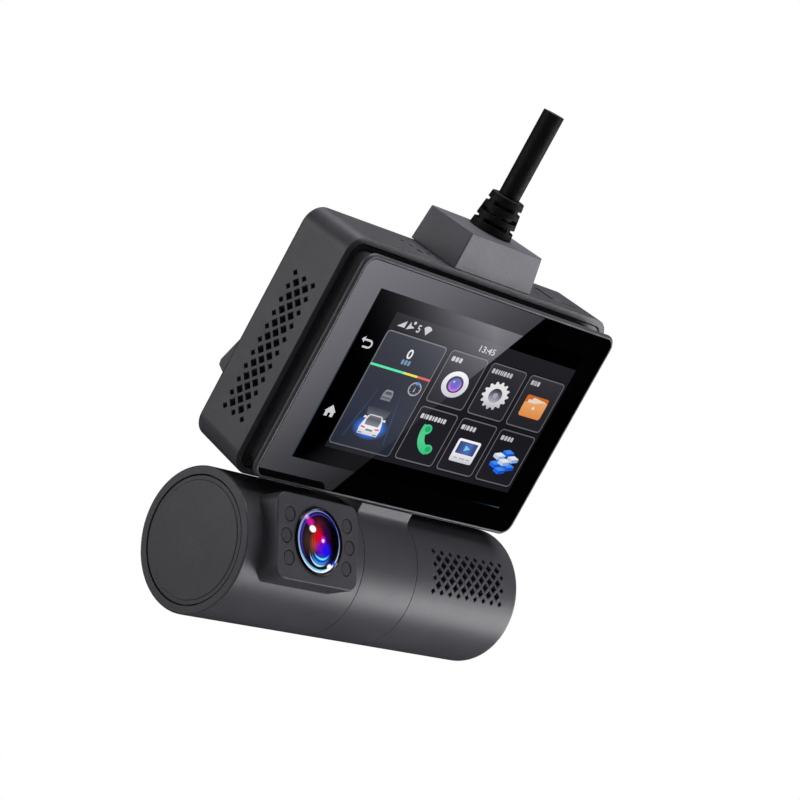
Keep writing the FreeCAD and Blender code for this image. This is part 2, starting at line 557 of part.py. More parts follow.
def tactile_switch():
    y0 = BOARD_BACK_Y + HAIR
    y1 = max(BUTTON_Y + 1.8, y0 + 3)
    top = switch_top() - FIT
    body = box(BUTTON_X - 2, BUTTON_X + 2, y0, y1, BOARD_H / 2 - SWITCH_REACH, top)
    return body.cut(rod(PLUNGER_WELL_R, V(BUTTON_X, BUTTON_Y, top - 1.6), Z, 5))


def switch_plunger():
    top = switch_top() + FIT - HAIR
    return rod(PLUNGER_R, V(BUTTON_X, BUTTON_Y, top - PLUNGER_L), Z, PLUNGER_L)


# ---- road camera ----
def road_camera_housing():
    y = HEAD_REAR_Y + HAIR
    outline = [V(0, y, BUMP_TOP), V(0, y + BUMP_PROUD, BUMP_TIP),
               V(0, y + BUMP_PROUD - 0.25, BUMP_TIP - 1.2), V(0, y, BUMP_FOOT)]
    wedge = polygon(outline).extrude(V(BUMP_W, 0, 0))
    wedge.translate(V(BUMP_X - BUMP_W / 2, 0, 0))
    wedge = soften(wedge, 0.5,
                   lambda e: abs(e.BoundBox.YMin - y - BUMP_PROUD) < 0.3 and e.Length > BUMP_W * 0.9)
    well = rod(ROAD_R + FIT, V(ROAD_X, y - 1, ROAD_Z), Y, 8)
    return wedge.cut(well)


def road_lens_barrel():
    front = HEAD_REAR_Y + ROAD_PROUD
    back = BOARD_BACK_Y + ROAD_BOARD_THICK + FIT
    body = rod(ROAD_R, V(ROAD_X, back, ROAD_Z), Y, front - back)
    mouth = Part.makeCone(ROAD_BORE_R, ROAD_R - ROAD_LIP, ROAD_MOUTH,
                          V(ROAD_X, front - ROAD_MOUTH + HAIR, ROAD_Z), Y)
    bore = rod(ROAD_BORE_R, V(ROAD_X, back - 1, ROAD_Z), Y, front)
    return body.cut(group([mouth, bore]))


def road_lens():
    front = HEAD_REAR_Y - ROAD_SUNK
    r = ROAD_BORE_R - HAIR
    glass = rod(r, V(ROAD_X, front - ROAD_GLASS_L, ROAD_Z), Y, ROAD_GLASS_L)
    bulge = Part.makeSphere(ROAD_BULGE_R, V(ROAD_X, front - ROAD_BULGE_R + ROAD_GLASS, ROAD_Z))
    tip = rod(r, V(ROAD_X, front - ROAD_GLASS_L, ROAD_Z), Y, 2 * ROAD_GLASS_L).common(bulge)
    return join(glass, tip)


def road_sensor_board():
    y = BOARD_BACK_Y + HAIR
    return box(ROAD_X - ROAD_BOARD_W, ROAD_X + ROAD_BOARD_W, y, y + ROAD_BOARD_THICK, ROAD_Z - ROAD_BOARD_H,
               ROAD_Z + ROAD_BOARD_H)


# ---- saddle ----
def neck_profile():
    """The neck's section across the barrel: upright faces, filleted onto the barrel's round."""
    reach = BARREL_R + NECK_FILLET
    front_c = (NECK_FRONT_Y - NECK_FILLET - BARREL_Y, 0)
    rear_c = (NECK_REAR_Y + NECK_FILLET - BARREL_Y, 0)
    points = []
    for dy, _ in (front_c, rear_c):
        dz = math.sqrt(reach * reach - dy * dy)
        centre = V(0, BARREL_Y + dy, BARREL_Z + dz)
        touch = V(0, BARREL_Y + dy * BARREL_R / reach, BARREL_Z + dz * BARREL_R / reach)
        points.append((centre, touch))
    (fc, ft), (rc, rt) = points
    front_top = V(0, NECK_FRONT_Y, fc.z)
    rear_top = V(0, NECK_REAR_Y, rc.z)
    high = -GLASS_H / 2 + 2
    diagonal = math.sqrt(0.5) * NECK_FILLET
    front_mid = V(0, fc.y + NECK_FILLET * math.cos(math.radians(35)),
                  fc.z - NECK_FILLET * math.sin(math.radians(35)))
    rear_mid = V(0, rc.y - diagonal, rc.z - diagonal)
    edges = [Part.Arc(ft, front_mid, front_top).toShape(),
             Part.LineSegment(front_top, V(0, NECK_FRONT_Y, high)).toShape(),
             Part.LineSegment(V(0, NECK_FRONT_Y, high), V(0, NECK_REAR_Y, high)).toShape(),
             Part.LineSegment(V(0, NECK_REAR_Y, high), rear_top).toShape(),
             Part.Arc(rear_top, rear_mid, rt).toShape(),
             Part.LineSegment(rt, V(0, BARREL_Y, BARREL_Z)).toShape(),
             Part.LineSegment(V(0, BARREL_Y, BARREL_Z), ft).toShape()]
    return Part.Face(Part.Wire(edges))


def head_envelope():
    """What the neck must stay clear of: the head's outline, a hair larger."""
    shell = head_solid(-HAIR, HEAD_FRONT_Y - FIT, HEAD_REAR_Y + 1)
    rim = rounded_block(GLASS_W / 2 + FIT, GLASS_H / 2 + FIT, GLASS_R, -2, HEAD_FRONT_Y)
    return shell.fuse(rim)


def saddle():
    x0, x1 = SADDLE_LEFT + SEAM / 2, SADDLE_RIGHT - SEAM / 2
    centre = V(x0, BARREL_Y, BARREL_Z)
    tube = rod(BARREL_R, centre, X, x1 - x0)
    neck = neck_profile().extrude(V(x1 - x0 - 2 * NECK_INSET, 0, 0))
    neck.translate(V(x0 + NECK_INSET, 0, 0))
    body = join(tube, neck.cut(head_envelope()))
    wall = BARREL_WALL
    body = body.cut(rod(BARREL_IN_R, V(x0 + wall, BARREL_Y, BARREL_Z), X, x1 - x0 - 2 * wall))
    pillars = []
    for x, y in neck_screw_places():
        half = PILLAR_HALF
        pillars.append(box(x - half, x + half, y - half, y + half, BARREL_Z + BARREL_IN_R - 5.5,
                           BARREL_Z + BARREL_IN_R - 0.2))
    body = join(body, *pillars)
    bore = rod(SHAFT_R + BUSH_WALL + HAIR, V(x0 - 1, BARREL_Y, BARREL_Z), X, x1 - x0 + 2)
    cutters = [bore]
    for x, y in neck_screw_places():
        cutters.append(rod(SCREW_R, V(x, y, BARREL_Z + BARREL_IN_R - 4.5), Z, 20))
    wire_x, wire_y = neck_wire_place()
    cutters.append(rod(WIRE_HOLE_R, V(wire_x, wire_y, BARREL_Z + BARREL_IN_R - 8), Z, 30))
    return body.cut(group(cutters))


def neck_screws():
    screws = []
    bottom = BARREL_Z + BARREL_IN_R - 4.2
    for x, y in neck_screw_places():
        shank = rod(SCREW_R - HAIR, V(x, y, bottom), Z, NECK_PAD_Z - bottom + 0.2)
        head = rod(SCREW_HEAD_R, V(x, y, NECK_PAD_Z + HAIR), Z, SCREW_HEAD)
        screws.append(join(shank, head))
    return group(screws)


def neck_harness():
    wire_x, wire_y = neck_wire_place()
    low = BARREL_Z + SHAFT_R + 3.2
    return rod(HARNESS_R, V(wire_x, wire_y, low), Z, -HEAD_IN_H + 3.5 - low)


def bearing_bushes():
    """Two plastic bushes in the saddle's end walls, in which the shaft turns."""
    outer, inner = SHAFT_R + BUSH_WALL, SHAFT_R + RUN
    x0, x1 = SADDLE_LEFT + SEAM / 2, SADDLE_RIGHT - SEAM / 2
    length = BARREL_WALL + BUSH_PAST_WALL
    left = ring(outer, inner, V(x0, BARREL_Y, BARREL_Z), X, length)
    right = ring(outer, inner, V(x1 - length, BARREL_Y, BARREL_Z), X, length)
    return group([left, right])


def friction_ring():
    """The rubber ring whose grip on the shaft holds the barrels where they are put."""
    middle = (SADDLE_LEFT + SADDLE_RIGHT) / 2
    return ring(SHAFT_R + GRIP_THICK, SHAFT_R + RUN, V(middle - GRIP_W / 2, BARREL_Y, BARREL_Z), X, GRIP_W)


# ---- barrels, in their own frame with the lens along -Y ----
def barrel_tube(x0, x1):
    return rod(BARREL_R, V(x0, 0, 0), X, x1 - x0)


def camera_barrel():
    x1 = SADDLE_LEFT - SEAM / 2
    tube = barrel_tube(BARREL_LEFT, x1)
    tube = soften(tube, EDGE_R, lambda e: lies_at(e, 0, BARREL_LEFT))
    boss = rounded_block(BOSS_W / 2, BOSS_H / 2, BOSS_R, -PLATE_BACK, 0, BOSS_X)
    body = join(tube, boss)
    disc_r = BARREL_R - DISC_R_INSET + DISC_GAP
    recess = DISC_THICK + DISC_STEP
    cutters = [rod(disc_r, V(BARREL_LEFT - 1, 0, 0), X, recess + 1),
               rod(disc_r - 1.2, V(BARREL_LEFT, 0, 0), X, recess + 1.2),
               rod(BARREL_IN_R, V(BARREL_LEFT + recess + 1.0, 0, 0), X,
                   x1 - BARREL_WALL - BARREL_LEFT - recess - 1.0),
               rod(SHAFT_R + HAIR, V(x1 - 5, 0, 0), X, 10)]
    inner_w, inner_h = BOSS_W / 2 - BOSS_WALL, BOSS_H / 2 - BOSS_WALL
    cutters.append(rounded_block(inner_w, inner_h, BOSS_R - BOSS_WALL, -PLATE_BACK - 1, 0, BOSS_X))
    for y, z in shaft_screw_places():
        cutters.append(rod(TIE_SCREW_BORE, V(x1 - 1.6, y, z), X, 0.8))
        cutters.append(rod(TIE_SCREW_BORE, V(x1 - BARREL_WALL - 1, y, z), X, 1.2))
    return pitched(body.cut(group(cutters)))


def end_disc():
    r = BARREL_R - DISC_R_INSET
    disc = rod(r, V(BARREL_LEFT + DISC_STEP, 0, 0), X, DISC_THICK - HAIR)
    face = rod(r - 0.9, V(BARREL_LEFT, 0, 0), X, 1.0)
    face = face.makeChamfer(DISC_STEP * 0.9, [e for e in face.Edges if lies_at(e, 0, BARREL_LEFT)])
    return pitched(join(disc, face))


def shaft_screw_places():
    r = (SHAFT_R + SHAFT_FLANGE_R) / 2
    return [(r * math.cos(math.radians(a)), r * math.sin(math.radians(a))) for a in (0, 120, 240)]


def tie_shaft():
    """The tube that ties both barrels through the saddle, flanged in the camera barrel."""
    flange_x = SADDLE_LEFT - SEAM / 2 - BARREL_WALL - HAIR
    end_x = SADDLE_RIGHT + SEAM / 2 + BARREL_WALL + SHAFT_BEYOND
    tube = rod(SHAFT_R, V(flange_x - SHAFT_FLANGE, 0, 0), X, end_x - flange_x + SHAFT_FLANGE)
    flange = rod(SHAFT_FLANGE_R, V(flange_x - SHAFT_FLANGE, 0, 0), X, SHAFT_FLANGE)
    middle = (SADDLE_LEFT + SADDLE_RIGHT) / 2
    cutters = [rod(SHAFT_BORE, V(flange_x - 10, 0, 0), X, 80)]
    cutters.append(box(middle + 2.2, middle + 5.6, -2, 2, 0, SHAFT_R + 2))
    cutters += [rod(TIE_SCREW_BORE, V(flange_x - 5, y, z), X, 10) for y, z in shaft_screw_places()]
    return pitched(join(tube, flange).cut(group(cutters)))


def shaft_screws():
    x = SADDLE_LEFT - SEAM / 2 - BARREL_WALL - HAIR - SHAFT_FLANGE
    screws = []
    for y, z in shaft_screw_places():
        head = rod(TIE_SCREW_HEAD_R, V(x - TIE_SCREW_HEAD - HAIR, y, z), X, TIE_SCREW_HEAD)
        shank = rod(TIE_SCREW_R, V(x - TIE_SCREW_HEAD, y, z), X, TIE_SCREW_L)
        screws.append(join(head, shank))
    return pitched(group(screws))


def shaft_lock_ring():
    x = SADDLE_RIGHT + SEAM / 2 + BARREL_WALL + HAIR
    return pitched(ring(SHAFT_FLANGE_R, SHAFT_R + HAIR, V(x, 0, 0), X, LOCK_RING))


def camera_faceplate():
    plate = rounded_block(BOSS_W / 2, BOSS_H / 2, BOSS_R, -PLATE_FRONT, -PLATE_BACK - HAIR, BOSS_X)
    plate = soften(plate, EDGE_R, lambda e: lies_at(e, 1, -PLATE_FRONT))
    holes = [rod(LENS_R + HAIR, V(BOSS_X, -PLATE_FRONT - 1, 0), Y, 5)]
    holes += [rod(LED_R + FIT, V(x, -PLATE_FRONT - 1, z), Y, 5) for x, z in led_places()]
    return pitched(plate.cut(group(holes)))


def led_places():
    places = []
    for side in (-1, 1):
        for step in (-1, 0, 1):
            out = LED_MID_OUT if step == 0 else LED_OUT
            places.append((BOSS_X + side * out, step * LED_UP))
    return places


def ir_leds():
    leds = []
    for x, z in led_places():
        base_y = -ir_board_front()
        leds.append(rod(LED_R, V(x, -PLATE_FRONT + LED_SUNK, z), Y, PLATE_FRONT - LED_SUNK + base_y - HAIR))
    return pitched(group(leds))


def ir_board_front():
    return PLATE_BACK - IR_BOARD_SET


def ir_board():
    front = ir_board_front()
    inner_w, inner_h = BOSS_W / 2 - BOSS_WALL - FIT, BOSS_H / 2 - BOSS_WALL - FIT
    board = rounded_block(inner_w, inner_h, BOSS_R - BOSS_WALL, -front, -front + IR_BOARD_THICK, BOSS_X)
    return pitched(board.cut(rod(LENS_R - 0.4, V(BOSS_X, -front - 1, 0), Y, 5)))


def lens_ring():
    front = PLATE_FRONT + LENS_PROUD
    body = ring(LENS_R, LENS_R - LENS_RING, V(BOSS_X, -front, 0), Y, LENS_PROUD + PLATE_THICK)
    body = body.makeChamfer(LENS_RING / 3, [e for e in body.Edges if lies_at(e, 1, -front)])
    return pitched(body)


def lens_dome():
    """The bulging front element, a cap of a sphere on a short cylinder."""
    r = LENS_R - LENS_RING - HAIR
    sphere_r = (r * r + DOME_RISE * DOME_RISE) / (2 * DOME_RISE)
    edge = PLATE_FRONT + DOME_SEAT
    skirt = rod(r, V(BOSS_X, -edge, 0), Y, DOME_SKIRT)
    ball = Part.makeSphere(sphere_r, V(BOSS_X, -edge - DOME_RISE + sphere_r, 0))
    cap = rod(r, V(BOSS_X, -edge - DOME_RISE - 1, 0), Y, DOME_RISE + 1.2).common(ball)
    return pitched(join(skirt, cap))


def lens_step_r(step):
    """Bore of one inner step of the lens barrel, counted from the front."""
    return LENS_HOUSING_R - LENS_LIP - LENS_STEP * step


def lens_housing():
    """The black lens barrel, stepped inside to seat the inner elements."""
    body = rod(LENS_HOUSING_R, V(BOSS_X, -LENS_FRONT, 0), Y, LENS_FRONT - LENS_BACK)
    steps = [rod(lens_step_r(i), V(BOSS_X, -LENS_FRONT - 1, 0), Y, LENS_MOUTH + LENS_STEP_L * i)
             for i in range(LENS_STEPS)]
    through = rod(LENS_PUPIL, V(BOSS_X, -LENS_FRONT - 1, 0), Y, LENS_FRONT)
    return pitched(body.cut(group(steps + [through])))


def inner_lenses():
    lenses = []
    for i in range(1, LENS_STEPS):
        front = -LENS_FRONT - 1 + LENS_MOUTH + LENS_STEP_L * i - INNER_GLASS
        lenses.append(rod(lens_step_r(i) - HAIR, V(BOSS_X, front, 0), Y, INNER_GLASS - HAIR))
    return pitched(group(lenses))


def cabin_sensor_board():
    return pitched(box(BOSS_X - 9, BOSS_X + 9, -LENS_BACK + HAIR + 0.04, -LENS_BACK + 1.2, -7.5, 7.5))


def camera_ribbon():
    x0, x1 = BOSS_X + 4, (SADDLE_LEFT + SADDLE_RIGHT) / 2 + 2
    y = -LENS_BACK + 1.25
    low = box(x0, SADDLE_LEFT - 4.5, y, y + 0.25, -3, 3)
    drop = box(SADDLE_LEFT - 4.75, SADDLE_LEFT - 4.5, y, 0.25, -3, 3)
    run = box(SADDLE_LEFT - 4.75, x1, 0, 0.25, -3, 3)
    return pitched(join(low, drop, run))


# ---- speaker barrel ----
def grille_cutters(depth):
    cutters = []
    middle = (GRILLE_ROWS - 1) / 2
    for row in range(GRILLE_ROWS):
        odd = row % 2
        count = GRILLE_COLUMNS - odd
        for column in range(count):
            edge = row in (0, GRILLE_ROWS - 1) or (not odd and column in (0, count - 1))
            side = GRILLE_HOLE_SMALL if edge else GRILLE_HOLE
            x = GRILLE_X + (column - (count - 1) / 2) * GRILLE_PITCH_X
            cutter = diamond(side, depth, V(x, -BARREL_R - 1, 0), Y)
            cutter.rotate(V(0, 0, 0), X, (row - middle) * GRILLE_PITCH_DEG)
            cutters.append(cutter)
    return cutters


def speaker_barrel():
    x0 = SADDLE_RIGHT + SEAM / 2
    body = barrel_tube(x0, BARREL_RIGHT)
    body = soften(body, RIGHT_EDGE_R, lambda e: lies_at(e, 0, BARREL_RIGHT))
    cutters = grille_cutters(BARREL_WALL + 2)
    cutters.append(rod(BARREL_IN_R, V(x0 + BARREL_WALL, 0, 0), X, BARREL_RIGHT - x0 - 2 * BARREL_WALL))
    cutters.append(rod(SHAFT_R + HAIR, V(x0 - 1, 0, 0), X, 5))
    return pitched(body.cut(group(cutters)))


def arc_sheet(outer, inner, x0, x1, half_angle):
    reach = outer * 2
    tube = ring(outer, inner, V(x0, 0, 0), X, x1 - x0)
    t = math.tan(math.radians(half_angle))
    sector = polygon([V(x0 - 1, 0, 0), V(x0 - 1, -reach, reach * t), V(x0 - 1, -reach, -reach * t)])
    return tube.common(sector.extrude(V(x1 - x0 + 2, 0, 0)))


def speaker_mesh():
    half = GRILLE_PITCH_X * (GRILLE_COLUMNS + 1) / 2
    angle = GRILLE_PITCH_DEG * (GRILLE_ROWS + 1) / 2
    return pitched(arc_sheet(BARREL_IN_R - HAIR, BARREL_IN_R - 0.35, GRILLE_X - half, GRILLE_X + half,
                             angle))


def speaker_frame():
    y = -DRIVER_FRONT
    basket = ring(DRIVER_R, DRIVER_R - DRIVER_WALL, V(GRILLE_X, y, 0), Y, DRIVER_DEPTH)
    back = ring(DRIVER_R, MAGNET_R, V(GRILLE_X, y + DRIVER_DEPTH - DRIVER_PLATE, 0), Y, DRIVER_PLATE)
    return pitched(join(basket, back))


def speaker_cone():
    r = DRIVER_R - DRIVER_WALL - HAIR
    y = -DRIVER_FRONT + CONE_SET
    outer = Part.makeCone(r, CONE_R, CONE_DEPTH, V(GRILLE_X, y, 0), Y)
    hollow = Part.makeCone(r - CONE_WALL, CONE_R - CONE_WALL, CONE_DEPTH, V(GRILLE_X, y - CONE_SET, 0), Y)
    return pitched(outer.cut(hollow))


def speaker_magnet():
    y = -DRIVER_FRONT + CONE_SET + CONE_DEPTH + 0.2
    return pitched(rod(MAGNET_R - HAIR, V(GRILLE_X, y, 0), Y, MAGNET_L))


# ---- windscreen mount ----
def mount_block():
    y0, y1 = BLOCK_FRONT_Y, HEAD_REAR_Y
    foot = [V(BLOCK_LEFT, y0, BLOCK_BOTTOM), V(BLOCK_RIGHT, y0, BLOCK_BOTTOM),
            V(BLOCK_RIGHT, y1, BLOCK_BOTTOM), V(BLOCK_LEFT, y1, BLOCK_BOTTOM)]
    crown = [V(BLOCK_LEFT, y0, BLOCK_TOP), V(BLOCK_RIGHT_TOP, y0, BLOCK_TOP),
             V(BLOCK_RIGHT_TOP, y1 - BLOCK_LEAN, BLOCK_TOP), V(BLOCK_LEFT, y1 - BLOCK_LEAN, BLOCK_TOP)]
    wires = [Part.makePolygon(p + [p[0]]) for p in (foot, crown)]
    body = Part.makeLoft(wires, True, True)
    body = soften(body, BLOCK_EDGE_R, lambda e: not lies_at(e, 2, BLOCK_BOTTOM))
    w = BLOCK_WALL
    room = box(BLOCK_LEFT + w, BLOCK_RIGHT_TOP - w, y0 + w, y1 - BLOCK_LEAN - w, BLOCK_BOTTOM - 1,
               BLOCK_TOP - w)
    gland_hole = rod(gland_neck_r() + HAIR, V(GLAND_X, GLAND_Y, BLOCK_TOP - 3), Z, 5)
    return body.cut(group([room, gland_hole]))


def gland_neck_r():
    return CABLE_R + 1.2


def mount_rail():
    """The plate that closes the block, with the T-section rail the head hangs on."""
    w = BLOCK_WALL + FIT
    z0 = BLOCK_BOTTOM
    plate = box(BLOCK_LEFT + w, BLOCK_RIGHT_TOP - w, BLOCK_FRONT_Y + w, HEAD_REAR_Y - BLOCK_LEAN - w,
                z0, z0 + BASE_THICK)
    neck = box(-RAIL_NECK_W / 2, RAIL_NECK_W / 2, RAIL_FRONT_Y, HEAD_REAR_Y - BLOCK_LEAN - w,
               RAIL_BOTTOM, z0 + 1)
    tail = box(-RAIL_NECK_W / 2, RAIL_NECK_W / 2, RAIL_FRONT_Y, RAIL_REAR_Y, RAIL_BOTTOM, z0 - HAIR)
    flange = box(-RAIL_W / 2, RAIL_W / 2, RAIL_FRONT_Y, RAIL_REAR_Y, RAIL_BOTTOM, RAIL_TOP)
    body = join(plate, neck, tail, flange)
    holes = [rod(PIN_R + HAIR, V(x, pin_y(), RAIL_BOTTOM - 1), Z, 12) for x in pin_places()]
    holes += [rod(BLOCK_SCREW_BORE, V(x, y, z0 - 1), Z, 5) for x, y in block_screw_places()]
    return body.cut(group(holes))


def pin_y():
    return RAIL_FRONT_Y + PIN_BACK


def pin_places():
    first = -PIN_PITCH * (PIN_COUNT - 1) / 2
    return [first + PIN_PITCH * i for i in range(PIN_COUNT)]


def block_screw_places():
    y = (BLOCK_FRONT_Y + HEAD_REAR_Y) / 2
    inset = BLOCK_WALL + BLOCK_SCREW_INSET
    return [(BLOCK_LEFT + inset, y), (BLOCK_RIGHT_TOP - inset, y)]


def contact_pins():
    low = RAIL_BOTTOM - SLIDE + RUN
    high = BLOCK_BOTTOM + BASE_THICK
    return group([rod(PIN_R, V(x, pin_y(), low), Z, high - low) for x in pin_places()])


def block_screws():
    screws = []
    for x, y in block_screw_places():
        head = rod(BLOCK_SCREW_HEAD_R, V(x, y, BLOCK_BOTTOM + BASE_THICK + HAIR), Z, 0.9)
        shank = rod(BLOCK_SCREW_R, V(x, y, BLOCK_BOTTOM + 0.1), Z, 2.0)
        screws.append(join(head, shank))
    return group(screws)


def mount_board():
    z = BLOCK_BOTTOM + BOARD_LIFT
    w = BLOCK_WALL + 0.4
    board = box(BLOCK_LEFT + w, BLOCK_RIGHT_TOP - w, BLOCK_FRONT_Y + w, HEAD_REAR_Y - BLOCK_LEAN - w, z,
                z + 1.0)
    return board


def adhesive_pad():
    pad = rounded_block(PAD_W / 2, PAD_H / 2, PAD_R, 0, PAD_THICK)
    pad.rotate(V(0, 0, 0), X, LEAN_ANGLE)
    pad.translate(V(0, PAD_BACK_Y, PAD_Z))
    return pad


def rail_channel():
    """The insert under the head's roof that the rail slides in, open to the rear."""
    room = RAIL_W / 2 + SLIDE
    wall = CHANNEL_WALL
    y0, y1 = RAIL_FRONT_Y - SLIDE - CHANNEL_STOP, HEAD_IN_REAR - HAIR
    body = box(-room - wall, room + wall, y0, y1, CHANNEL_FLOOR - CHANNEL_BASE, ROOF_IN - HAIR)
    hollow = box(-room, room, y0 + CHANNEL_STOP, y1 + 1, CHANNEL_FLOOR, ROOF_IN + 1)
    tracks = [box(x - TRACK_W, x + TRACK_W, y0 + 2, y1 - 1, CHANNEL_FLOOR - TRACK_DEPTH, CHANNEL_FLOOR + 1)
              for x in pin_places()]
    return body.cut(group([hollow] + tracks))


def contact_tracks():
    y0, y1 = RAIL_FRONT_Y - SLIDE - CHANNEL_STOP, HEAD_IN_REAR - HAIR
    half = TRACK_W - HAIR
    tracks = []
    for x in pin_places():
        tracks.append(box(x - half, x + half, y0 + 2 + FIT, y1 - 1 - FIT, CHANNEL_FLOOR - TRACK_DEPTH + HAIR,
                          CHANNEL_FLOOR - HAIR))
    return group(tracks)


def strain_relief():
    """Tapered rubber gland cut by staggered bending slots, and a neck through the block's top."""
    base = V(GLAND_X, GLAND_Y, BLOCK_TOP)
    body = Part.makeCone(GLAND_R, GLAND_TOP_R, GLAND_H, base, Z)
    body = soften(body, 0.35, lambda e: lies_at(e, 2, BLOCK_TOP + GLAND_H))
    neck = rod(gland_neck_r(), base - Z * BLOCK_WALL, Z, BLOCK_WALL + 1)
    collar = rod(gland_neck_r() + 0.8, base - Z * (BLOCK_WALL + HAIR + 0.9), Z, 0.9)
    stem = rod(gland_neck_r(), base - Z * (BLOCK_WALL + 0.9), Z, 2)
    body = join(body, neck, collar, stem)
    core = rod((CABLE_R + GLAND_TOP_R) / 2, base, Z, GLAND_H)
    cutters = []
    for level in range(1, GLAND_SLOTS + 1):
        foot = GLAND_H * level / (GLAND_SLOTS + 1) - GLAND_SLOT / 2
        belt = rod(GLAND_R + 1, base + Z * foot, Z, GLAND_SLOT).cut(core)
        spokes = [box(-GLAND_RIB / 2, GLAND_RIB / 2, -9, 9, -5, 20) for _ in range(2)]
        stagger = 45 * ((level + 1) % 2)
        for i, spoke in enumerate(spokes):
            spoke.rotate(V(0, 0, 0), Z, 90 * i + stagger)
            spoke.translate(V(GLAND_X, GLAND_Y, BLOCK_TOP))
        cutters.append(belt.cut(group(spokes)))
    body = body.cut(group(cutters))
    return body.cut(rod(CABLE_R + HAIR, base - Z * 10, Z, GLAND_H + 20))


def cable_foot_z():
    return BLOCK_TOP - BLOCK_WALL - 0.4


def core_places():
    return [(GLAND_X + CORE_RING * math.cos(a), GLAND_Y + CORE_RING * math.sin(a))
            for a in (math.pi / 4 + i * math.pi / 2 for i in range(4))]


def power_cable():
    foot = cable_foot_z()
    jacket = rod(CABLE_R, V(GLAND_X, GLAND_Y, foot), Z, CABLE_TOP_Z - foot)
    holes = [rod(CORE_R + HAIR, V(x, y, foot - 1), Z, CABLE_TOP_Z - foot + 2) for x, y in core_places()]
    return jacket.cut(group(holes))


def cable_cores():
    foot = BLOCK_BOTTOM + 4.0 + HAIR
    return group([rod(CORE_R, V(x, y, foot), Z, CABLE_TOP_Z - foot) for x, y in core_places()])


PARTS = [screen_rim, cover_glass, display_panel, backlight_tray, front_bezel, screen_bracket, rear_shell,
         shell_screws, main_board, board_screws, processor, heat_sink, supercapacitors, gps_antenna,
         microphone, side_vent_mesh, card_socket, memory_card, power_button, tactile_switch,
         switch_plunger, road_camera_housing, road_lens_barrel, road_lens, road_sensor_board, saddle,
         neck_screws, neck_harness, bearing_bushes, friction_ring, camera_barrel, end_disc, tie_shaft,
         shaft_screws, shaft_lock_ring, camera_faceplate, ir_leds, ir_board, lens_ring, lens_dome,
         lens_housing, inner_lenses, cabin_sensor_board, camera_ribbon, speaker_barrel, speaker_mesh,
         speaker_frame, speaker_cone, speaker_magnet, mount_block, mount_rail, contact_pins, block_screws,
         mount_board, adhesive_pad, rail_channel, contact_tracks, strain_relief, power_cable, cable_cores]


os.makedirs("parts", exist_ok=True)
for make in PARTS:
    shape = make()
    shape.translate(ORIGIN * -1)
    shape.exportStep("parts/" + make.__name__ + ".step")
    print(make.__name__, len(shape.Solids), "solids", round(shape.Volume, 1), "mm3", shape.isValid())
print("origin from the glass centre", ORIGIN)
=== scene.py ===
import json
import math
import bmesh
import bpy
from mathutils import Matrix, Vector

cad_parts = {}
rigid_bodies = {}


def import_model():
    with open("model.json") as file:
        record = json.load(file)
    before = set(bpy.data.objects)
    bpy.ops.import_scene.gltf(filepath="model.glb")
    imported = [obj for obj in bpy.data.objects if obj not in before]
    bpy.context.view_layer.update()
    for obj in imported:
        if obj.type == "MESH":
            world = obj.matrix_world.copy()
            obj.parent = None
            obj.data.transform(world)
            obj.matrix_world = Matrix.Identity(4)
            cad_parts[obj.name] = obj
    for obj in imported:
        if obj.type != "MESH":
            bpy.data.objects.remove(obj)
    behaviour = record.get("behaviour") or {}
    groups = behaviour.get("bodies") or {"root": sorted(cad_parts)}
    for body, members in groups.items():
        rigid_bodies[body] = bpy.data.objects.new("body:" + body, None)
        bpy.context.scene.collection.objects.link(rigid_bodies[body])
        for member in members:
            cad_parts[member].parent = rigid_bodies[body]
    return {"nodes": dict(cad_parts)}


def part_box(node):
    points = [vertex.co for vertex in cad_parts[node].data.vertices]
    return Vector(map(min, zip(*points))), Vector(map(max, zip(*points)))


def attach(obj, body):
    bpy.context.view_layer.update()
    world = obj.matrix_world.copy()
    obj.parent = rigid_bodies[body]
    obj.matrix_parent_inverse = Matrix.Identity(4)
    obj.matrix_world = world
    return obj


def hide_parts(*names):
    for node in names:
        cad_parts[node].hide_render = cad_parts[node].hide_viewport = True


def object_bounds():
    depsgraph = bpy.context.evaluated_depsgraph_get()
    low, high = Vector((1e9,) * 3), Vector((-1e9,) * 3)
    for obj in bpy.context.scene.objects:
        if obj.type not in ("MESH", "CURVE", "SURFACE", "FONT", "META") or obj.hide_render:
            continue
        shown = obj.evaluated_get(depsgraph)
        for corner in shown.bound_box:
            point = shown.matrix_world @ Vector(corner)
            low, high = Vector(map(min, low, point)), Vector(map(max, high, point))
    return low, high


for stray in list(bpy.data.objects):
    bpy.data.objects.remove(stray)
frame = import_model()
cad_low, cad_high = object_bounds()

MM = 0.001

# ---- camera ----
glass_low, glass_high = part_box("cover_glass")
rim_low, rim_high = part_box("screen_rim")
GLASS = Vector((0, rim_low.y, (glass_low.z + glass_high.z) / 2))
EYE = GLASS + Vector((-0.42779, -0.35611, 0.10485))
RIGHT = Vector((0.64248, -0.60527, 0.46996))
DOWN = Vector((0.18473, -0.47286, -0.86156))
AHEAD = Vector((0.74370, 0.64035, -0.19199))
SENSOR, FOCAL = 36, 110.75                 # mm

camera_data = bpy.data.cameras.new("camera")
camera_data.sensor_width = SENSOR
camera_data.lens = FOCAL
camera_data.clip_start = 0.01
camera = bpy.data.objects.new("camera", camera_data)
bpy.context.collection.objects.link(camera)
turn = Matrix((RIGHT, -DOWN, -AHEAD)).transposed()
camera.matrix_world = Matrix.Translation(EYE) @ turn.to_4x4()
bpy.context.scene.camera = camera
bpy.context.scene.view_settings.view_transform = "Standard"


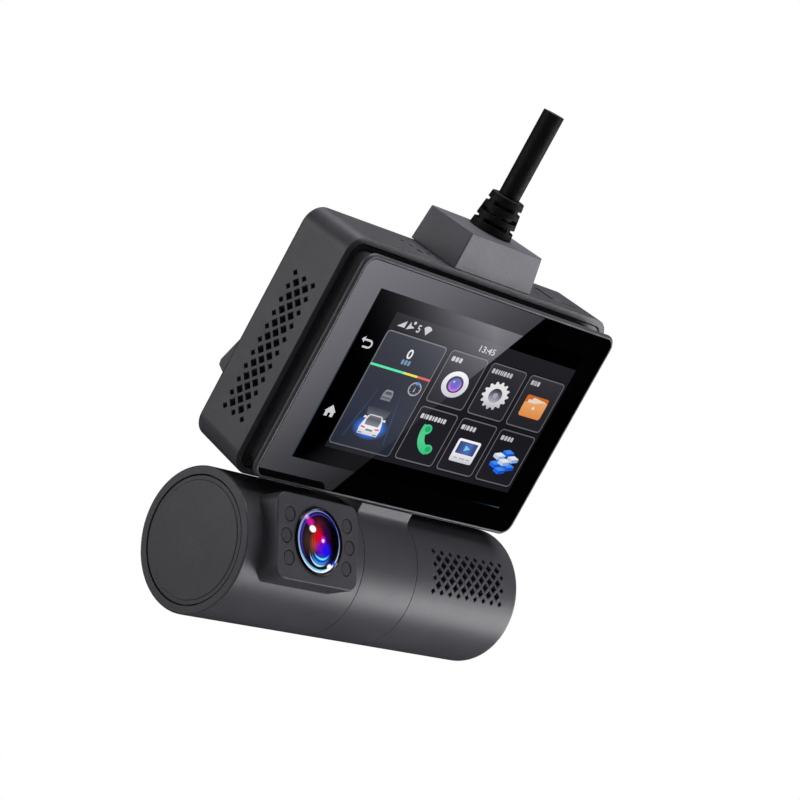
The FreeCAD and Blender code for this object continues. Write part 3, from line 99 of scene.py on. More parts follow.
# ---- node helpers ----
class Paint:
    """One procedural material being built."""

    def __init__(self, name):
        self.material = bpy.data.materials.new(name)
        self.material.use_nodes = True
        self.tree = self.material.node_tree
        self.tree.nodes.clear()
        self.out = self.add("ShaderNodeOutputMaterial")
        self.shader = self.add("ShaderNodeBsdfPrincipled")
        self.link(self.shader.outputs["BSDF"], self.out.inputs["Surface"])
        self.place = self.add("ShaderNodeTexCoord").outputs["Object"]

    def add(self, kind, **values):
        node = self.tree.nodes.new(kind)
        for key, value in values.items():
            setattr(node, key, value)
        return node

    def link(self, a, b):
        self.tree.links.new(a, b)

    def set(self, **values):
        for key, value in values.items():
            self.shader.inputs[key.replace("_", " ")].default_value = value

    def mapped(self, scale):
        node = self.add("ShaderNodeMapping")
        node.inputs["Scale"].default_value = scale
        self.link(self.place, node.inputs["Vector"])
        return node.outputs["Vector"]

    def noise(self, scale, detail=3.0, rough=0.55, vector=None):
        node = self.add("ShaderNodeTexNoise")
        node.inputs["Scale"].default_value = scale
        node.inputs["Detail"].default_value = detail
        node.inputs["Roughness"].default_value = rough
        self.link(vector or self.place, node.inputs["Vector"])
        return node.outputs["Fac"]

    def ramp(self, source, stops):
        node = self.add("ShaderNodeValToRGB")
        elements = node.color_ramp.elements
        while len(elements) < len(stops):
            elements.new(1.0)
        for element, (at, colour) in zip(elements, stops):
            element.position = at
            element.color = (*colour, 1)
        self.link(source, node.inputs["Fac"])
        return node.outputs["Color"]

    def tint(self, source, stops):
        """Colour the surface by a ramp."""
        self.link(self.ramp(source, stops), self.shader.inputs["Base Color"])

    def spread(self, source, low, high, start=0.0, end=1.0):
        node = self.add("ShaderNodeMapRange")
        node.inputs["From Min"].default_value = start
        node.inputs["From Max"].default_value = end
        node.inputs["To Min"].default_value = low
        node.inputs["To Max"].default_value = high
        self.link(source, node.inputs["Value"])
        return node.outputs["Result"]

    def math(self, operation, a, b=None):
        node = self.add("ShaderNodeMath", operation=operation)
        for socket, value in zip(node.inputs, (a, b)):
            if value is None:
                continue
            if isinstance(value, (int, float)):
                socket.default_value = value
            else:
                self.link(value, socket)
        return node.outputs[0]

    def mix(self, factor, a, b):
        node = self.add("ShaderNodeMix", data_type="RGBA")
        for socket, value in ((node.inputs[0], factor), (node.inputs[6], a), (node.inputs[7], b)):
            if isinstance(value, tuple):
                socket.default_value = (*value, 1)
            elif isinstance(value, (int, float)):
                socket.default_value = value
            else:
                self.link(value, socket)
        return node.outputs[2]

    def bump(self, height, strength, distance, normal=None):
        node = self.add("ShaderNodeBump")
        node.inputs["Strength"].default_value = strength
        node.inputs["Distance"].default_value = distance
        self.link(height, node.inputs["Height"])
        if normal is not None:
            self.link(normal, node.inputs["Normal"])
        self.link(node.outputs["Normal"], self.shader.inputs["Normal"])

    def soft_edges(self, radius):
        node = self.add("ShaderNodeBevel", samples=4)
        node.inputs["Radius"].default_value = radius
        return node.outputs["Normal"]

    def edge_highlight_mask(self, radius):
        """About 0 on a flat face and up to 1 on an edge: where the edges are painted lighter as a highlight.
        """
        soft = self.soft_edges(radius)
        flat = self.add("ShaderNodeNewGeometry").outputs["Normal"]
        product = self.add("ShaderNodeVectorMath", operation="DOT_PRODUCT")
        self.link(soft, product.inputs[0])
        self.link(flat, product.inputs[1])
        return soft, self.spread(product.outputs["Value"], 1.0, 0.0, 0.75, 0.995)


def linear(r, g, b):
    """Scene colour of an 8-bit screen colour."""
    out = []
    for v in (r, g, b):
        c = v / 255
        out.append(c / 12.92 if c <= 0.04045 else ((c + 0.055) / 1.055) ** 2.4)
    return tuple(out)


def scaled(colour, k):
    return tuple(min(1.0, c * k) for c in colour)


def shades(*marks):
    """Stops of a colour ramp, each given as its place and an 8-bit screen colour."""
    return [(at, linear(r, g, b)) for at, r, g, b in marks]


def moulded(name, colour, rough, grain=1500, depth=0.00003, edge_highlight=1.5, edge=0.0002, specular=0.5):
    """Moulded plastic with a fine spark texture and edges painted lighter as a highlight."""
    p = Paint(name)
    soft, edge_lit = p.edge_highlight_mask(edge)
    patches = p.noise(70, 4)
    grains = p.noise(grain, 2)
    body = p.ramp(patches, [(0.3, scaled(colour, 0.93)), (0.7, scaled(colour, 1.07))])
    speck = p.ramp(grains, [(0.35, (0.86,) * 3), (0.65, (1.0,) * 3)])
    speckled = p.add("ShaderNodeMix", data_type="RGBA", blend_type="MULTIPLY")
    speckled.inputs[0].default_value = 1.0
    p.link(body, speckled.inputs[6])
    p.link(speck, speckled.inputs[7])
    # Painted highlight: edges are lightened by the edge_highlight factor, as if they caught the light.
    p.link(p.mix(edge_lit, speckled.outputs[2], scaled(colour, edge_highlight)), p.shader.inputs["Base Color"])
    smudge = p.noise(140, 5, 0.6)
    p.link(p.spread(smudge, rough - 0.03, rough + 0.03, 0.3, 0.7), p.shader.inputs["Roughness"])
    p.set(Specular_IOR_Level=specular)
    p.bump(grains, 0.35, depth, soft)
    return p.material


def brushed(name, colour, rough, metallic=1.0, along=(1, 40, 40), grain=400, edge=0.0002):
    """Metal drawn along one direction."""
    p = Paint(name)
    soft = p.soft_edges(edge)
    lines = p.noise(grain, 3, 0.6, p.mapped(scale=along))
    p.tint(lines, [(0.3, scaled(colour, 0.88)), (0.7, scaled(colour, 1.08))])
    p.link(p.spread(lines, rough - 0.06, rough + 0.08, 0.3, 0.7), p.shader.inputs["Roughness"])
    p.set(Metallic=metallic)
    p.bump(lines, 0.15, 0.00002, soft)
    return p.material


# ---- plastics, rubber and metal ----
LENS_PITCH = math.radians(37.2)
LED_R, LED_UP, LED_STEP_IN = 1.7, 4.85, 1.0    # radius, row spacing, how far the outer rows stand in
LED_OUTLINE = 0.80, 0.97                   # where the dark outline starts and is full, in radii


def shell_paint():
    return moulded("shell_plastic", linear(66, 65, 71), 0.42, edge_highlight=1.9)


def mount_paint():
    return moulded("mount_plastic", linear(91, 90, 98), 0.46, edge_highlight=1.5)


def bezel_paint():
    return moulded("bezel_plastic", linear(44, 43, 46), 0.4, grain=2200, depth=0.00002, edge_highlight=1.6)


def rim_paint():
    p = Paint("rim_metal")
    soft = p.soft_edges(0.0002)
    lines = p.noise(900, 3, 0.6, p.mapped(scale=(0.05, 1, 1)))
    colour = linear(72, 71, 76)
    p.tint(lines, [(0.3, scaled(colour, 0.9)), (0.7, scaled(colour, 1.06))])
    p.link(p.spread(p.noise(260, 4), 0.4, 0.5, 0.3, 0.7), p.shader.inputs["Roughness"])
    p.set(Metallic=0.2)
    p.bump(lines, 0.1, 0.00001, soft)
    return p.material


def black_paint():
    return moulded("black_plastic", linear(24, 24, 26), 0.38, edge_highlight=1.7)


def rubber_paint():
    p = Paint("rubber")
    soft, edge_lit = p.edge_highlight_mask(0.0002)
    skin = p.noise(1100, 5, 0.7)
    dust = p.noise(90, 5, 0.65)
    base = p.ramp(dust, shades((0.35, 15, 15, 16), (0.75, 23, 23, 24)))
    # Painted highlight: the edges are mixed towards a lighter colour, as if they caught the light.
    p.link(p.mix(edge_lit, base, linear(30, 30, 33)), p.shader.inputs["Base Color"])
    p.link(p.spread(skin, 0.5, 0.72, 0.3, 0.7), p.shader.inputs["Roughness"])
    p.set(Specular_IOR_Level=0.25)
    p.bump(skin, 0.3, 0.00004, soft)
    return p.material


def glass_paint():
    """The black gloss border of the cover glass, printed on its inner face."""
    p = Paint("screen_glass")
    film = p.noise(45, 4, 0.6)
    p.tint(film, shades((0.3, 1, 1, 2), (0.7, 4, 4, 5)))
    p.link(p.spread(p.noise(300, 5, 0.7), 0.004, 0.012, 0.3, 0.7), p.shader.inputs["Roughness"])
    p.set(Specular_IOR_Level=0.5, IOR=1.5)
    return p.material


def lens_glass_paint():
    """Coated optical glass: clear black depth with a violet and green bloom."""
    p = Paint("lens_glass")
    bloom = p.noise(110, 2)
    p.tint(bloom, shades((0.35, 10, 6, 18), (0.6, 6, 14, 20)))
    p.link(p.spread(p.noise(500, 4), 0.02, 0.05, 0.3, 0.7), p.shader.inputs["Roughness"])
    p.set(Specular_IOR_Level=0.7, IOR=1.6, Coat_Weight=1.0, Coat_Roughness=0.02)
    p.set(Coat_Tint=(0.75, 0.6, 1.0, 1))
    return p.material


def lens_ring_paint():
    return moulded("lens_ring", linear(12, 12, 14), 0.18, grain=2400, depth=0.00001, edge_highlight=2.2, edge=0.0001)


def led_paint():
    """Tinted infrared windows: the plate's own tone inside a dark outline."""
    p = Paint("led_window")
    low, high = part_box("ir_leds")
    middle = (low + high) / 2
    half = (high - low) / 2
    shift = p.add("ShaderNodeVectorMath", operation="SUBTRACT")
    shift.inputs[1].default_value = middle
    p.link(p.place, shift.inputs[0])
    upright = p.add("ShaderNodeVectorRotate", rotation_type="X_AXIS")
    upright.inputs["Angle"].default_value = LENS_PITCH
    p.link(shift.outputs[0], upright.inputs["Vector"])
    flat = p.add("ShaderNodeVectorMath", operation="MULTIPLY")
    flat.inputs[1].default_value = (1, 0, 1)
    p.link(upright.outputs[0], flat.inputs[0])
    folded = p.add("ShaderNodeVectorMath", operation="ABSOLUTE")
    p.link(flat.outputs[0], folded.inputs[0])
    reach = half.x - LED_R * MM
    away = None
    for out, up in ((reach - LED_STEP_IN * MM, LED_UP * MM), (reach, 0.0)):
        gap = p.add("ShaderNodeVectorMath", operation="DISTANCE")
        gap.inputs[1].default_value = (out, 0, up)
        p.link(folded.outputs[0], gap.inputs[0])
        away = gap.outputs["Value"] if away is None else p.math("MINIMUM", away, gap.outputs["Value"])
    skin = p.noise(1500, 2)
    tint = p.ramp(skin, shades((0.3, 56, 55, 59), (0.7, 66, 65, 69)))
    outline = p.spread(away, 0.0, 1.0, LED_R * LED_OUTLINE[0] * MM, LED_R * LED_OUTLINE[1] * MM)
    p.link(p.mix(outline, tint, linear(20, 20, 22)), p.shader.inputs["Base Color"])
    p.link(p.spread(skin, 0.34, 0.42, 0.3, 0.7), p.shader.inputs["Roughness"])
    return p.material


def mesh_paint():
    """Woven acoustic cloth: threads over and under on a fine grid."""
    p = Paint("mesh_cloth")
    wave_a = p.add("ShaderNodeTexWave", wave_type="BANDS", bands_direction="X")
    wave_b = p.add("ShaderNodeTexWave", wave_type="BANDS", bands_direction="Z")
    for wave in (wave_a, wave_b):
        wave.inputs["Scale"].default_value = 900
        wave.inputs["Distortion"].default_value = 0.4
        p.link(p.place, wave.inputs["Vector"])
    woven = p.math("MULTIPLY", wave_a.outputs["Fac"], wave_b.outputs["Fac"])
    p.tint(woven, shades((0.1, 0, 0, 1), (0.8, 4, 4, 5)))
    p.set(Roughness=0.85)
    p.bump(woven, 0.5, 0.00006)
    return p.material


def sheet_metal_paint():
    return brushed("sheet_metal", linear(176, 178, 182), 0.36)


def aluminium_paint():
    return brushed("aluminium", linear(206, 208, 212), 0.32, along=(40, 1, 40))


def steel_paint():
    return brushed("steel", linear(150, 150, 154), 0.3, grain=700)


def gold_paint():
    return brushed("gold", linear(226, 184, 104), 0.26, grain=800)


def copper_paint():
    return brushed("copper", linear(208, 126, 84), 0.3, along=(40, 40, 1), grain=900)


def board_paint():
    """Solder mask over copper, with fine traces and pads."""
    p = Paint("board")
    cells = p.add("ShaderNodeTexVoronoi", feature="DISTANCE_TO_EDGE", distance="MANHATTAN")
    cells.inputs["Scale"].default_value = 260
    p.link(p.place, cells.inputs["Vector"])
    traces = p.ramp(cells.outputs["Distance"], shades((0.03, 34, 92, 62), (0.07, 16, 58, 40)))
    spots = p.add("ShaderNodeTexVoronoi", feature="F1")
    spots.inputs["Scale"].default_value = 420
    p.link(p.place, spots.inputs["Vector"])
    pads = p.spread(spots.outputs["Distance"], 1.0, 0.0, 0.12, 0.16)
    p.link(p.mix(pads, traces, linear(196, 170, 110)), p.shader.inputs["Base Color"])
    p.link(p.spread(p.noise(500, 3), 0.28, 0.42, 0.3, 0.7), p.shader.inputs["Roughness"])
    p.bump(cells.outputs["Distance"], 0.2, 0.00003)
    return p.material


def chip_paint():
    return moulded("chip", linear(30, 30, 32), 0.5, grain=2600, edge_highlight=1.3)


def ceramic_paint():
    return moulded("ceramic_patch", linear(176, 160, 132), 0.4, grain=2000, edge_highlight=1.2)


def card_paint():
    return moulded("card_black", linear(26, 26, 30), 0.36, grain=2600, edge_highlight=1.6)


def cone_paint():
    p = Paint("paper_cone")
    pulp = p.noise(900, 6, 0.7)
    p.tint(pulp, shades((0.3, 22, 21, 22), (0.7, 46, 44, 44)))
    p.set(Roughness=0.9)
    p.bump(pulp, 0.5, 0.00008)
    return p.material


def foam_paint():
    """Double-sided foam tape: closed cells and a slightly shiny adhesive skin."""
    p = Paint("foam_tape")
    cells = p.add("ShaderNodeTexVoronoi", feature="F1")
    cells.inputs["Scale"].default_value = 3200
    p.link(p.place, cells.inputs["Vector"])
    distance = cells.outputs["Distance"]
    p.tint(distance, shades((0.1, 30, 30, 31), (0.7, 48, 48, 50)))
    p.link(p.spread(distance, 0.45, 0.75), p.shader.inputs["Roughness"])
    p.bump(distance, 0.6, 0.0001)
    return p.material


def ribbon_paint():
    p = Paint("ribbon")
    lanes = p.add("ShaderNodeTexWave", wave_type="BANDS", bands_direction="Z")
    lanes.inputs["Scale"].default_value = 420
    p.link(p.place, lanes.inputs["Vector"])
    p.link(p.ramp(lanes.outputs["Fac"], shades((0.2, 150, 84, 30), (0.8, 206, 132, 58))),
           p.shader.inputs["Base Color"])
    p.set(Roughness=0.35)
    p.bump(lanes.outputs["Fac"], 0.3, 0.00003)
    return p.material


def display_paint():
    """The panel's dark liquid-crystal face: a grid of red, green and blue dots."""
    p = Paint("display")
    dots = p.add("ShaderNodeTexWave", wave_type="BANDS", bands_direction="X")
    dots.inputs["Scale"].default_value = 1500
    p.link(p.place, dots.inputs["Vector"])
    p.tint(dots.outputs["Fac"], shades((0.2, 14, 12, 18), (0.5, 12, 18, 14), (0.8, 14, 14, 22)))
    p.set(Roughness=0.2)
    return p.material


FINISHES = {
    "shell_plastic": shell_paint, "mount_plastic": mount_paint, "bezel_plastic": bezel_paint,
    "rim_metal": rim_paint, "screen_glass": glass_paint, "display": display_paint,
    "sheet_metal": sheet_metal_paint, "black_plastic": black_paint, "board": board_paint,
    "chip": chip_paint, "aluminium": aluminium_paint, "ceramic_patch": ceramic_paint,
    "steel": steel_paint, "gold": gold_paint, "card_black": card_paint,
    "lens_glass": lens_glass_paint, "lens_ring": lens_ring_paint, "led_window": led_paint,
    "mesh_cloth": mesh_paint, "paper_cone": cone_paint, "rubber": rubber_paint,
    "foam_tape": foam_paint, "copper": copper_paint, "ribbon": ribbon_paint,
}
finishes = {name: make() for name, make in FINISHES.items()}
for part in frame["nodes"].values():
    for part_slot in part.material_slots:
        part_slot.material = finishes[part_slot.material.name.split(".")[0]]


# ---- power cable ----
def power_cable():
    low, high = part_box("power_cable")
    x, y = (low.x + high.x) / 2, (low.y + high.y) / 2
    radius = (high.x - low.x) / 2
    curve = bpy.data.curves.new("cable_line", "CURVE")
    curve.dimensions = "3D"
    curve.bevel_depth = radius
    curve.bevel_resolution = 12
    curve.use_fill_caps = True
    spline = curve.splines.new("NURBS")
    count = 6
    spline.points.add(count - 1)
    for i, point in enumerate(spline.points):
        point.co = (x, y, low.z + (high.z - low.z) * i / (count - 1), 1)
    spline.order_u = 3
    spline.use_endpoint_u = True
    cable = bpy.data.objects.new("cable", curve)
    bpy.context.collection.objects.link(cable)
    curve.materials.append(finishes["rubber"])
    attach(cable, "mount")
    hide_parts("power_cable", "cable_cores")


power_cable()


# ---- mesh drawing on the glass ----
class Sheet:
    """Flat faces drawn on the glass in mm from its centre, each a small step nearer the driver."""

    STEP = 0.012 * MM

    def __init__(self):
        self.mesh = bmesh.new()
        self.paints = []

    def index(self, material):
        if material not in self.paints:
            self.paints.append(material)
        return self.paints.index(material)

    def face(self, points, level, material):
        y = GLASS.y - level * self.STEP
        verts = [self.mesh.verts.new((GLASS.x + u * MM, y, GLASS.z + w * MM)) for u, w in points]
        face = self.mesh.faces.new(verts)
        face.material_index = self.index(material)
        face.normal_update()
        if face.normal.y > 0:
            face.normal_flip()

    def band(self, outer, inner, level, material):
        for i in range(len(outer)):
            j = (i + 1) % len(outer)
            self.face([outer[i], outer[j], inner[j], inner[i]], level, material)

    def finish(self, name, body):
        data = bpy.data.meshes.new(name)
        self.mesh.to_mesh(data)
        self.mesh.free()
        for paint in self.paints:
            data.materials.append(paint)
        item = bpy.data.objects.new(name, data)
        bpy.context.collection.objects.link(item)
        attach(item, body)


def rounded(x0, z0, x1, z1, r, steps=5):
    points = []
    corners = ((x1 - r, z1 - r, 0), (x0 + r, z1 - r, 90), (x0 + r, z0 + r, 180), (x1 - r, z0 + r, 270))
    for cx, cz, start in corners:
        for k in range(steps + 1):
            a = math.radians(start + 90 * k / steps)
            points.append((cx + r * math.cos(a), cz + r * math.sin(a)))
    return points


def oval(cx, cz, rx, rz, count=40):
    return [(cx + rx * math.cos(2 * math.pi * k / count), cz + rz * math.sin(2 * math.pi * k / count))
            for k in range(count)]


def shrunk_rounded(x0, z0, x1, z1, r, by):
    return rounded(x0 + by, z0 + by, x1 - by, z1 - by, max(r - by, 0.05))


# ---- what the screen shows ----
def lit(name, colour):
    """A lit area of the display: emission broken up by the dot grid, under the glass."""
    p = Paint(name)
    grid = p.noise(5200, 1)
    stops = [(0.3, scaled(colour, 0.97)), (0.7, scaled(colour, 1.03))]
    p.link(p.ramp(grid, stops), p.shader.inputs["Emission Color"])
    p.set(Emission_Strength=1.0, Base_Color=(0, 0, 0, 1), Roughness=0.01)
    reflect(p)
    return p.material


def lit_ramp(name, axis, start, end, stops):
    """A lit area whose colour runs along one axis of the glass, in mm from its centre."""
    p = Paint(name)
    split = p.add("ShaderNodeSeparateXYZ")
    p.link(p.place, split.inputs[0])
    origin = GLASS.x if axis == 0 else GLASS.z
    source = split.outputs[0 if axis == 0 else 2]
    along = p.spread(source, 0.0, 1.0, origin + start * MM, origin + end * MM)
    p.link(p.ramp(along, stops), p.shader.inputs["Emission Color"])
    p.set(Emission_Strength=1.0, Base_Color=(0, 0, 0, 1), Roughness=0.01)
    reflect(p)
    return p.material


def lit_round(name, cx, cz, rx, rz, stops):
    """A lit area whose colour runs outward from a point, 1 at the oval rx, rz."""
    p = Paint(name)
    centred = p.add("ShaderNodeVectorMath", operation="SUBTRACT")
    centred.inputs[1].default_value = (GLASS.x + cx * MM, 0, GLASS.z + cz * MM)
    p.link(p.place, centred.inputs[0])
    squeezed = p.add("ShaderNodeVectorMath", operation="MULTIPLY")
    squeezed.inputs[1].default_value = (1 / (rx * MM), 0, 1 / (rz * MM))
    p.link(centred.outputs[0], squeezed.inputs[0])
    away = p.add("ShaderNodeVectorMath", operation="LENGTH")
    p.link(squeezed.outputs[0], away.inputs[0])
    p.link(p.ramp(away.outputs["Value"], stops), p.shader.inputs["Emission Color"])
    p.set(Emission_Strength=1.0, Base_Color=(0, 0, 0, 1), Roughness=0.01)
    reflect(p)
    return p.material


DIAGONAL = Vector((0.822, 0, -0.569))      # across the soft reflection's edge, towards the dark side
DIAGONAL_X = -1.3                          # where that edge crosses the glass's middle, in mm


def reflect(p):
    """The window's coating takes the glare out of the glass, least near its top and the slanted line."""
    def along(start, direction):
        offset = p.add("ShaderNodeVectorMath", operation="SUBTRACT")
        offset.inputs[1].default_value = start
        p.link(p.place, offset.inputs[0])
        across = p.add("ShaderNodeVectorMath", operation="DOT_PRODUCT")
        across.inputs[1].default_value = direction
        p.link(offset.outputs[0], across.inputs[0])
        return across.outputs["Value"]

    upper = p.spread(along((GLASS.x, 0, GLASS.z), (0.75, 0, 0.66)), 0.0, 1.0, -28 * MM, 16 * MM)
    beside = p.spread(along((GLASS.x + DIAGONAL_X * MM, 0, GLASS.z), DIAGONAL), 0.0, 0.13, -15 * MM, 0.0)
    p.link(p.math("MAXIMUM", p.math("POWER", upper, 4.0), beside), p.shader.inputs["Coat Weight"])
    p.set(Coat_IOR=2.5, Coat_Roughness=0.004, Specular_IOR_Level=0.0)


WINDOW = (-37.3, -21.25, 37.4, 21.3)
SCREEN = (-29.3, -17.0, 37.4, 17.4)
BIG_CARD = (-29.1, -15.9, -8.2, 13.1)
COLUMNS = [(-6.6, 7.0), (8.5, 21.8), (23.2, 36.7)]
ROWS = [(-0.4, 13.2), (-15.6, -1.6)]


def window_paint():
    p = Paint("window_glass")
    film = p.noise(40, 4)
    p.tint(film, shades((0.3, 0, 0, 1), (0.7, 2, 2, 3)))
    p.link(p.spread(p.noise(260, 5, 0.7), 0.004, 0.012, 0.3, 0.7), p.shader.inputs["Roughness"])
    reflect(p)
    return p.material


def screen_window():
    sheet = Sheet()
    sheet.face(rounded(*WINDOW, 0.3), 1, window_paint())
    edge = lit_ramp("window_edge_light", 2, -21, 21,
                    shades((0.0, 52, 74, 92), (0.45, 60, 78, 95), (0.8, 24, 30, 38), (1.0, 8, 9, 11)))
    x0, z0, x1, z1 = WINDOW
    sheet.face([(x0 - 0.1, z0), (x0 + 0.12, z0), (x0 + 0.12, z1), (x0 - 0.1, z1)], 2, edge)
    glow = lit_ramp("window_lower_light", 0, 25.4, 37.4,
                    shades((0.0, 0, 0, 0), (0.6, 20, 35, 46), (1.0, 62, 96, 122)))
    sheet.face([(25.4, z0 - 0.12), (x1, z0 - 0.12), (x1, z0 + 0.12), (25.4, z0 + 0.12)], 2, glow)
    sheet.finish("screen_window", "head")


screen_window()


def glyphs(text, height, cx, cz, squeeze=1.0):
    """Outlines of digits as triangles in mm, centred on a point of the glass."""
    curve = bpy.data.curves.new("digits", "FONT")
    curve.body = text
    curve.resolution_u = 4
    curve.offset = 0.018
    item = bpy.data.objects.new("digits", curve)
    bpy.context.collection.objects.link(item)
    bpy.context.view_layer.update()
    data = bpy.data.meshes.new_from_object(item.evaluated_get(bpy.context.evaluated_depsgraph_get()))
    low = [min(v.co[i] for v in data.vertices) for i in (0, 1)]
    high = [max(v.co[i] for v in data.vertices) for i in (0, 1)]
    k = height / (high[1] - low[1])
    mid = [(low[i] + high[i]) / 2 for i in (0, 1)]
    faces = []
    for poly in data.polygons:
        corners = [data.vertices[i].co for i in poly.vertices]
        faces.append([(cx + (c.x - mid[0]) * k * squeeze, cz + (c.y - mid[1]) * k) for c in corners])
    bpy.data.objects.remove(item)
    bpy.data.curves.remove(curve)
    bpy.data.meshes.remove(data)
    return faces


def card(sheet, box, paper, line, shade, level):
    x0, z0, x1, z1 = box
    r = 1.1
    sheet.face(rounded(x0, z0, x1, z1, r), level, paper)
    sheet.band(shrunk_rounded(x0, z0, x1, z1, r, -0.28), rounded(x0, z0, x1, z1, r), level, shade)
    sheet.band(rounded(x0, z0, x1, z1, r), shrunk_rounded(x0, z0, x1, z1, r, 0.3), level + 1, line)


def label(sheet, x, z, widths, paint, level):
    """A stand-in for a caption: a row of small plain marks."""
    for width in widths:
        sheet.face(rounded(x, z - 0.62, x + width, z + 0.62, 0.3, 3), level, paint)
        x += width + 0.28


def stroke(sheet, line, half, level, paint):
    """A band of constant width along a line of points."""
    left, right = [], []
    for i, point in enumerate(line):
        before = line[max(i - 1, 0)]
        after = line[min(i + 1, len(line) - 1)]
        dx, dz = after[0] - before[0], after[1] - before[1]
        size = math.hypot(dx, dz)
        nx, nz = -dz / size * half, dx / size * half
        left.append((point[0] + nx, point[1] + nz))
        right.append((point[0] - nx, point[1] - nz))
    for i in range(len(line) - 1):
        sheet.face([left[i], left[i + 1], right[i + 1], right[i]], level, paint)


def status_row(sheet, white):
    sheet.face([(-27.2, 14.4), (-24.7, 14.4), (-24.7, 16.1)], 4, white)
    sheet.face([(-24.1, 14.2), (-23.4, 16.2), (-22.9, 15.3)], 4, white)
    sheet.face([(-24.1, 14.2), (-22.9, 15.3), (-22.3, 15.3), (-21.7, 15.0)], 4, white)
    sheet.face(oval(-22.1, 16.2, 0.45, 0.4, 14), 4, white)
    for face in glyphs("5", 1.9, -20.2, 15.2):
        sheet.face(face, 4, white)
    fan = [(-17.3, 14.2)]
    fan += [(-17.3 + 1.75 * math.sin(math.radians(a)), 14.6 + 1.85 * math.cos(math.radians(a)))
            for a in range(50, -51, -10)]
    sheet.face(fan, 4, white)
    for face in glyphs("13:45", 1.6, 4.6, 15.3, 1.3):
        sheet.face(face, 4, white)


def side_icons(sheet, white):
    bend = [(-32.5 + 0.95 * math.cos(math.radians(a)), 8.4 + 0.85 * math.sin(math.radians(a)))
            for a in range(90, -91, -15)]
    stroke(sheet, [(-34.4, 9.25)] + bend + [(-34.1, 7.55)], 0.24, 4, white)
    sheet.face([(-34.3, 10.05), (-34.3, 8.45), (-35.3, 9.25)], 4, white)
    roof = [(-33.2, -7.2), (-31.4, -8.9), (-35.0, -8.9)]
    sheet.face(roof, 4, white)
    sheet.face([(-34.6, -8.8), (-31.8, -8.8), (-31.8, -10.1), (-32.8, -10.1), (-32.8, -9.2), (-33.6, -9.2),
                (-33.6, -10.1), (-34.6, -10.1)], 4, white)


def speed_card(sheet):
    paper = lit_ramp("card_large", 2, -16, 13,
                     shades((0.0, 36, 40, 54), (0.35, 50, 54, 68), (0.7, 55, 57, 66), (1.0, 58, 60, 70)))
    line = lit_ramp("card_large_line", 2, -16, 13, shades((0.0, 96, 96, 104), (1.0, 124, 124, 132)))
    shade = lit("card_large_shade", linear(22, 22, 27))
    card(sheet, BIG_CARD, paper, line, shade, 3)
    zero = lit("speed_digit", linear(238, 238, 242))
    for face in glyphs("0", 2.4, -18.7, 9.0, 1.15):
        sheet.face(face, 5, zero)
    unit = lit("speed_unit", linear(118, 150, 180))
    label(sheet, -20.15, 6.85, [0.8, 0.8, 0.8], unit, 5)
    bars = (("bar_low", -29.0, -17.6, (96, 232, 176)), ("bar_mid", -17.6, -12.8, (236, 226, 96)),
            ("bar_high", -12.8, -8.3, (232, 104, 98)))
    for name, x0, x1, colour in bars:
        sheet.face([(x0, 4.15), (x1, 4.15), (x1, 4.7), (x0, 4.7)], 5, lit(name, linear(*colour)))
    lane_faces(sheet)
    compass(sheet)
    cars(sheet)


def lane_faces(sheet):
    blue = lit_ramp("lane_line", 2, -14, -0.5,
                    shades((0.0, 44, 56, 76), (0.4, 48, 84, 122), (1.0, 62, 72, 92)))
    for side in (-1, 1):
        near, far = -18.8 + side * 6.9, -18.8 + side * 3.9
        lane = [(near - 0.3, -13.6), (near + 0.1, -13.6), (far + 0.12, -0.6), (far - 0.02, -0.6)]
        sheet.face(lane, 5, blue)


def compass(sheet):
    pale = lit("compass_ring", linear(172, 174, 180))
    cx, cz = -11.6, 1.5
    sheet.band(oval(cx, cz, 2.1, 1.75), oval(cx, cz, 1.75, 1.42), 5, pale)
    for a in range(0, 360, 45):
        dx, dz = math.cos(math.radians(a)), math.sin(math.radians(a))
        sheet.face(oval(cx + dx * 1.45, cz + dz * 1.15, 0.1, 0.1, 8), 5, pale)
    sheet.face([(cx - 0.28, cz - 0.7), (cx + 0.28, cz - 0.7), (cx, cz + 0.75)], 5, pale)
    north = lit("compass_north", linear(70, 140, 226))
    sheet.face([(cx - 0.6, cz + 1.0), (cx + 0.6, cz + 1.0), (cx, cz + 2.1)], 6, north)


